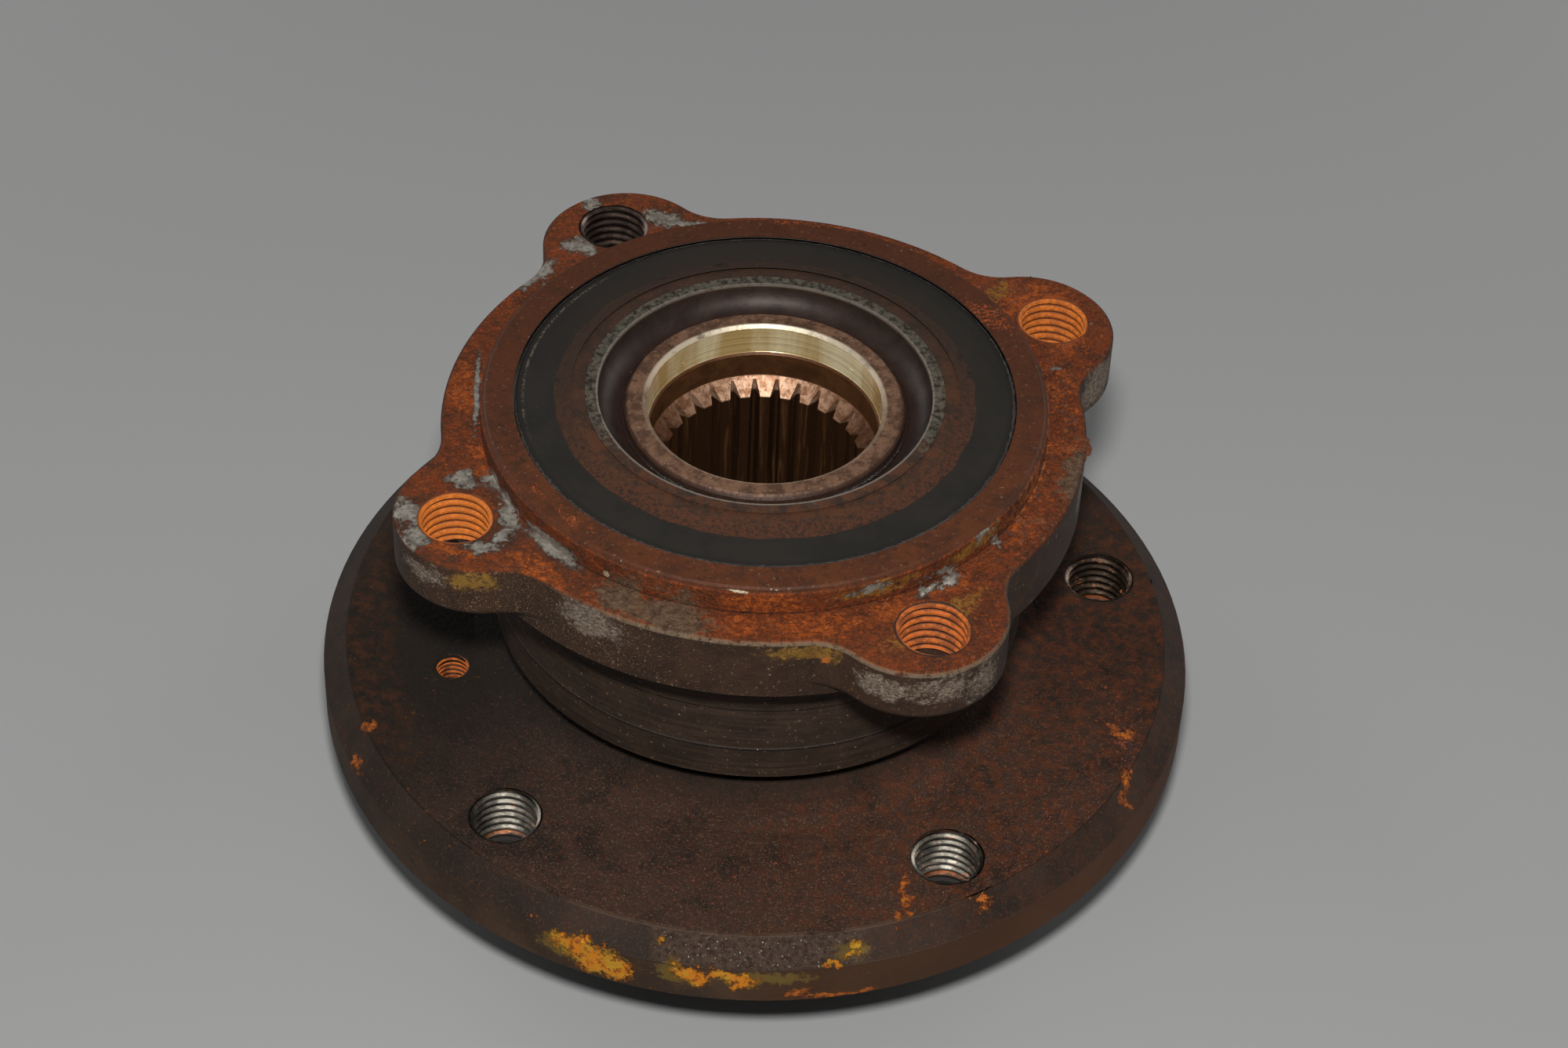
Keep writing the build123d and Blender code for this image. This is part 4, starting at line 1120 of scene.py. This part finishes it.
def near_angle(x, y, middle, half_width, soft):
    """1 round a direction about the axis, 0 away from it."""
    away = abs((math.degrees(math.atan2(y, x)) - middle + 180) % 360 - 180)
    return max(0.0, min(1.0, (half_width + soft - away) / (2 * soft)))


def ring_crust(x, y):
    """How thick the crust on the knuckle face is at a place, from 0 to 1."""
    return max(
        near_angle(x, y, -15, 50, 10),
        0.45 * near_angle(x, y, -80, 20, 10),
        0.35 * near_angle(x, y, 75, 30, 12),
        0.25 * near_angle(x, y, -128, 14, 6),
    )


def hub_crust(x, y):
    """How thick the crust on the flange's back face is at a place, from 0 to 1."""
    return max(near_angle(x, y, -25, 38, 18), 0.55 * near_angle(x, y, -85, 40, 15), 0.22)


def dirt(hub_look, ring_look):
    """Grease and dust round the encoder and the sleeve's foot, and rust that stands up."""
    grease = grease_material()
    rusty = lump_material()
    encoder = ("hub_side", "encoder_rubber", True)
    sleeve = ("hub_side", "inner_ring_steel", True)
    hub = ("hub_side", "hub_steel")
    ring = ("ring_side", "ring_steel")
    bead = bead_mesh(39.62, 82.78, thickness=0.40, middle=-75, half_width=95, seed=3.0)
    add_piece("encoder_edge_grease", bead, grease, *encoder)
    bead = bead_mesh(23.0, 80.0, thickness=0.42, middle=-80, half_width=60, seed=9.0)
    add_piece("sleeve_foot_grease", bead, grease, *sleeve)
    lump = lump_mesh((50.4, -3.0, 76.9), (1.6, 2.5, 1.9), seed=2.0)
    add_piece("flange_rust_lump", lump, rusty, *ring, True)
    ring_spots = (
        (47.6, 10.0, 2.4, 4.6, 5, 70, 0.42),
        (48.6, 2.8, 2.2, 3.4, 0, 60, 0.45),
        (47.4, -5.5, 2.4, 2.8, -8, 50, 0.42),
        (44.0, -15.0, 2.2, 4.4, -18, 60, 0.42),
        (41.2, -23.8, 2.6, 3.6, -35, 90, 0.55),
        (33.5, -44.0, 2.6, 4.0, 20, 50, 0.34),
        (31.0, -53.0, 6.0, 2.2, 12, 60, 0.30),
        (20.0, -52.0, 4.0, 2.4, 10, 40, 0.28),
        (4.0, -48.0, 9.0, 1.6, 3, 70, 0.26),
        (49.5, 23.5, 2.6, 4.5, 10, 60, 0.42),
        (41.0, 33.5, 5.0, 2.6, 40, 60, 0.42),
        (-46.4, -34.2, 4.0, 1.4, -25, 30, 0.26),
        (-32.0, -39.0, 5.0, 1.6, -40, 40, 0.24),
    )
    crumbs = grit_mesh(ring_spots, on_knuckle_face, KNUCKLE_FACE_Z, seed=5)
    add_piece("ring_crumbs", crumbs, rusty, *ring)
    limits = {"reach": 66.0, "step": 0.26, "lift": 0.62}
    crust = crust_mesh(on_knuckle_face, KNUCKLE_FACE_Z, ring_crust, 3.7, **limits)
    add_piece("ring_crust", crust, ring_look, *ring, True)
    limits = {"reach": 70.0, "step": 0.40, "lift": 0.20}
    crust = crust_mesh(on_back_face, BACK_FACE_Z, hub_crust, 8.1, **limits)
    add_piece("hub_crust", crust, hub_look, *hub, True)
    hub_spots = (
        (0.0, -57.0, 22.0, 7.0, 0, 380, 0.20),
        (26.0, -55.0, 8.0, 8.0, 0, 120, 0.24),
        (46.0, -42.0, 9.0, 12.0, 40, 260, 0.26),
        (60.0, -20.0, 4.5, 14.0, 15, 200, 0.28),
        (61.0, -25.5, 2.6, 1.4, -35, 40, 0.40),
        (30.0, -62.0, 1.4, 3.0, 10, 30, 0.30),
    )
    crumbs = grit_mesh(hub_spots, on_back_face, BACK_FACE_Z, seed=11)
    add_piece("hub_crumbs", crumbs, crumb_material(), *hub)
    add_piece("encoder_dust", dust_mesh(), dust_material(), *encoder)


# ---------------------------------------------------------------- stage
def floor_material():
    """Pale matt board, paler to the back as painted light, glowing far off to meet the backdrop.
    """
    shade = Shade("floor")
    # The colour pales to the back: painted light against the key lamp's fall-off.
    away = shade.y.step(50, 1100)
    seen = shade.node("LightPath", {}, "Is Camera Ray")
    far = shade.radius.step(330, 1100) * seen * 0.22
    shade.shader.inputs["Emission Color"].default_value = (1.0, 1.0, 1.0, 1.0)
    shade.put(shade.shader.inputs["Emission Strength"], far)
    return shade.finish(shade.mix(away, FLOOR_NEAR, FLOOR_FAR), 0.75, 0.0)


def stage():
    """A plain pale floor that the unit stands on."""
    data = bpy.data.meshes.new("floor")
    half = 4.0
    corners = [(-half, -half, 0), (half, -half, 0), (half, half, 0), (-half, half, 0)]
    data.from_pydata(corners, [], [(0, 1, 2, 3)])
    floor = bpy.data.objects.new("floor", data)
    bpy.context.scene.collection.objects.link(floor)
    data.materials.append(floor_material())


def lamp(name, place, target, power, size):
    """A round soft lamp. Power is in watts, size in metres."""
    data = bpy.data.lights.new(name, "AREA")
    data.shape = "DISK"
    data.size = size
    data.energy = power
    lamp_object = bpy.data.objects.new(name, data)
    lamp_object.location = place
    aim = Vector(target) - Vector(place)
    lamp_object.rotation_euler = aim.to_track_quat("-Z", "Y").to_euler()
    bpy.context.scene.collection.objects.link(lamp_object)


def lights():
    """A small key near the camera and three weak soft lamps, with a dim pale world."""
    middle = (0, 0, 0.04)
    lamp("key", (-0.0025, -0.389, 0.507), middle, 4.4, 0.045)
    lamp("top_fill", (-0.4, 0.3, 1.2), (0, 0, 0), 0.4, 1.0)
    lamp("back_left", (-0.50, 0.42, 0.24), middle, 1.2, 0.35)
    lamp("back_right", (0.50, 0.42, 0.24), middle, 1.2, 0.35)
    world = bpy.data.worlds.new("studio")
    bpy.context.scene.world = world
    world.use_nodes = True
    nodes, links = world.node_tree.nodes, world.node_tree.links
    background = nodes["Background"]
    background.inputs["Color"].default_value = (1.0, 1.0, 1.0, 1.0)
    rays = nodes.new("ShaderNodeLightPath")
    steps = (
        ("Is Camera Ray", BACKDROP),
        ("Is Glossy Ray", BACKDROP_IN_GLOSS),
        ("Is Transmission Ray", BACKDROP_IN_GLOSS),
    )
    total = None
    for ray, more in steps:
        node = nodes.new("ShaderNodeMath")
        node.operation = "MULTIPLY_ADD"
        links.new(rays.outputs[ray], node.inputs[0])
        node.inputs[1].default_value = more
        node.inputs[2].default_value = WORLD_LIGHT
        if total:
            links.new(total, node.inputs[2])
        total = node.outputs[0]
    links.new(total, background.inputs["Strength"])


def camera():
    """The photograph's viewing angle, fitted to the rims and holes of the unit."""
    data = bpy.data.cameras.new("camera")
    data.sensor_fit = "HORIZONTAL"
    data.sensor_width = 36.0
    data.lens = 82.972
    data.clip_start = 0.01
    right = Vector((0.99926312, 0.02098107, 0.03214064))
    up = Vector((-0.03782274, 0.68076316, 0.73152646))
    back = right.cross(up)
    rotation = Matrix((right, up, back)).transposed()
    eye = bpy.data.objects.new("camera", data)
    eye.matrix_world = Matrix.Translation((0.0, -0.433994, 0.458704)) @ rotation.to_4x4()
    bpy.context.scene.collection.objects.link(eye)
    bpy.context.scene.camera = eye


def dress(node, material):
    """Gives a CAD node its material."""
    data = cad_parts[node].data
    if not data.materials:
        data.materials.append(material)
    for i in range(len(data.materials)):
        data.materials[i] = material


def main():
    hub_look = hub_material()
    ring_look = ring_material()
    dress("wheel_hub", hub_look)
    dress("outer_ring", ring_look)
    dress("inner_ring", inner_ring_material())
    dress("magnetic_encoder", encoder_material())
    ball = bright_steel("ball_steel", (0.66, 0.66, 0.67), 0.08, 1.0)
    pressed = bright_steel("pressed_seal_steel", (0.42, 0.40, 0.38), 0.30, 3.0)
    rubber = moulded("seal_rubber", (0.022, 0.021, 0.020), 0.55)
    cage = moulded("cage_polymer", (0.40, 0.33, 0.20), 0.45)
    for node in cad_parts:
        if node.startswith("ball_"):
            dress(node, ball)
        elif node.startswith("cage_"):
            dress(node, cage)
        elif node.endswith("_seal_lips"):
            dress(node, rubber)
        elif node.endswith("_seal_case") or node == "inboard_slinger":
            dress(node, pressed)
    threads(hub_look, ring_look)
    dirt(hub_look, ring_look)
    stage()
    lights()
    camera()
    bpy.context.scene.view_settings.view_transform = "Standard"


main()
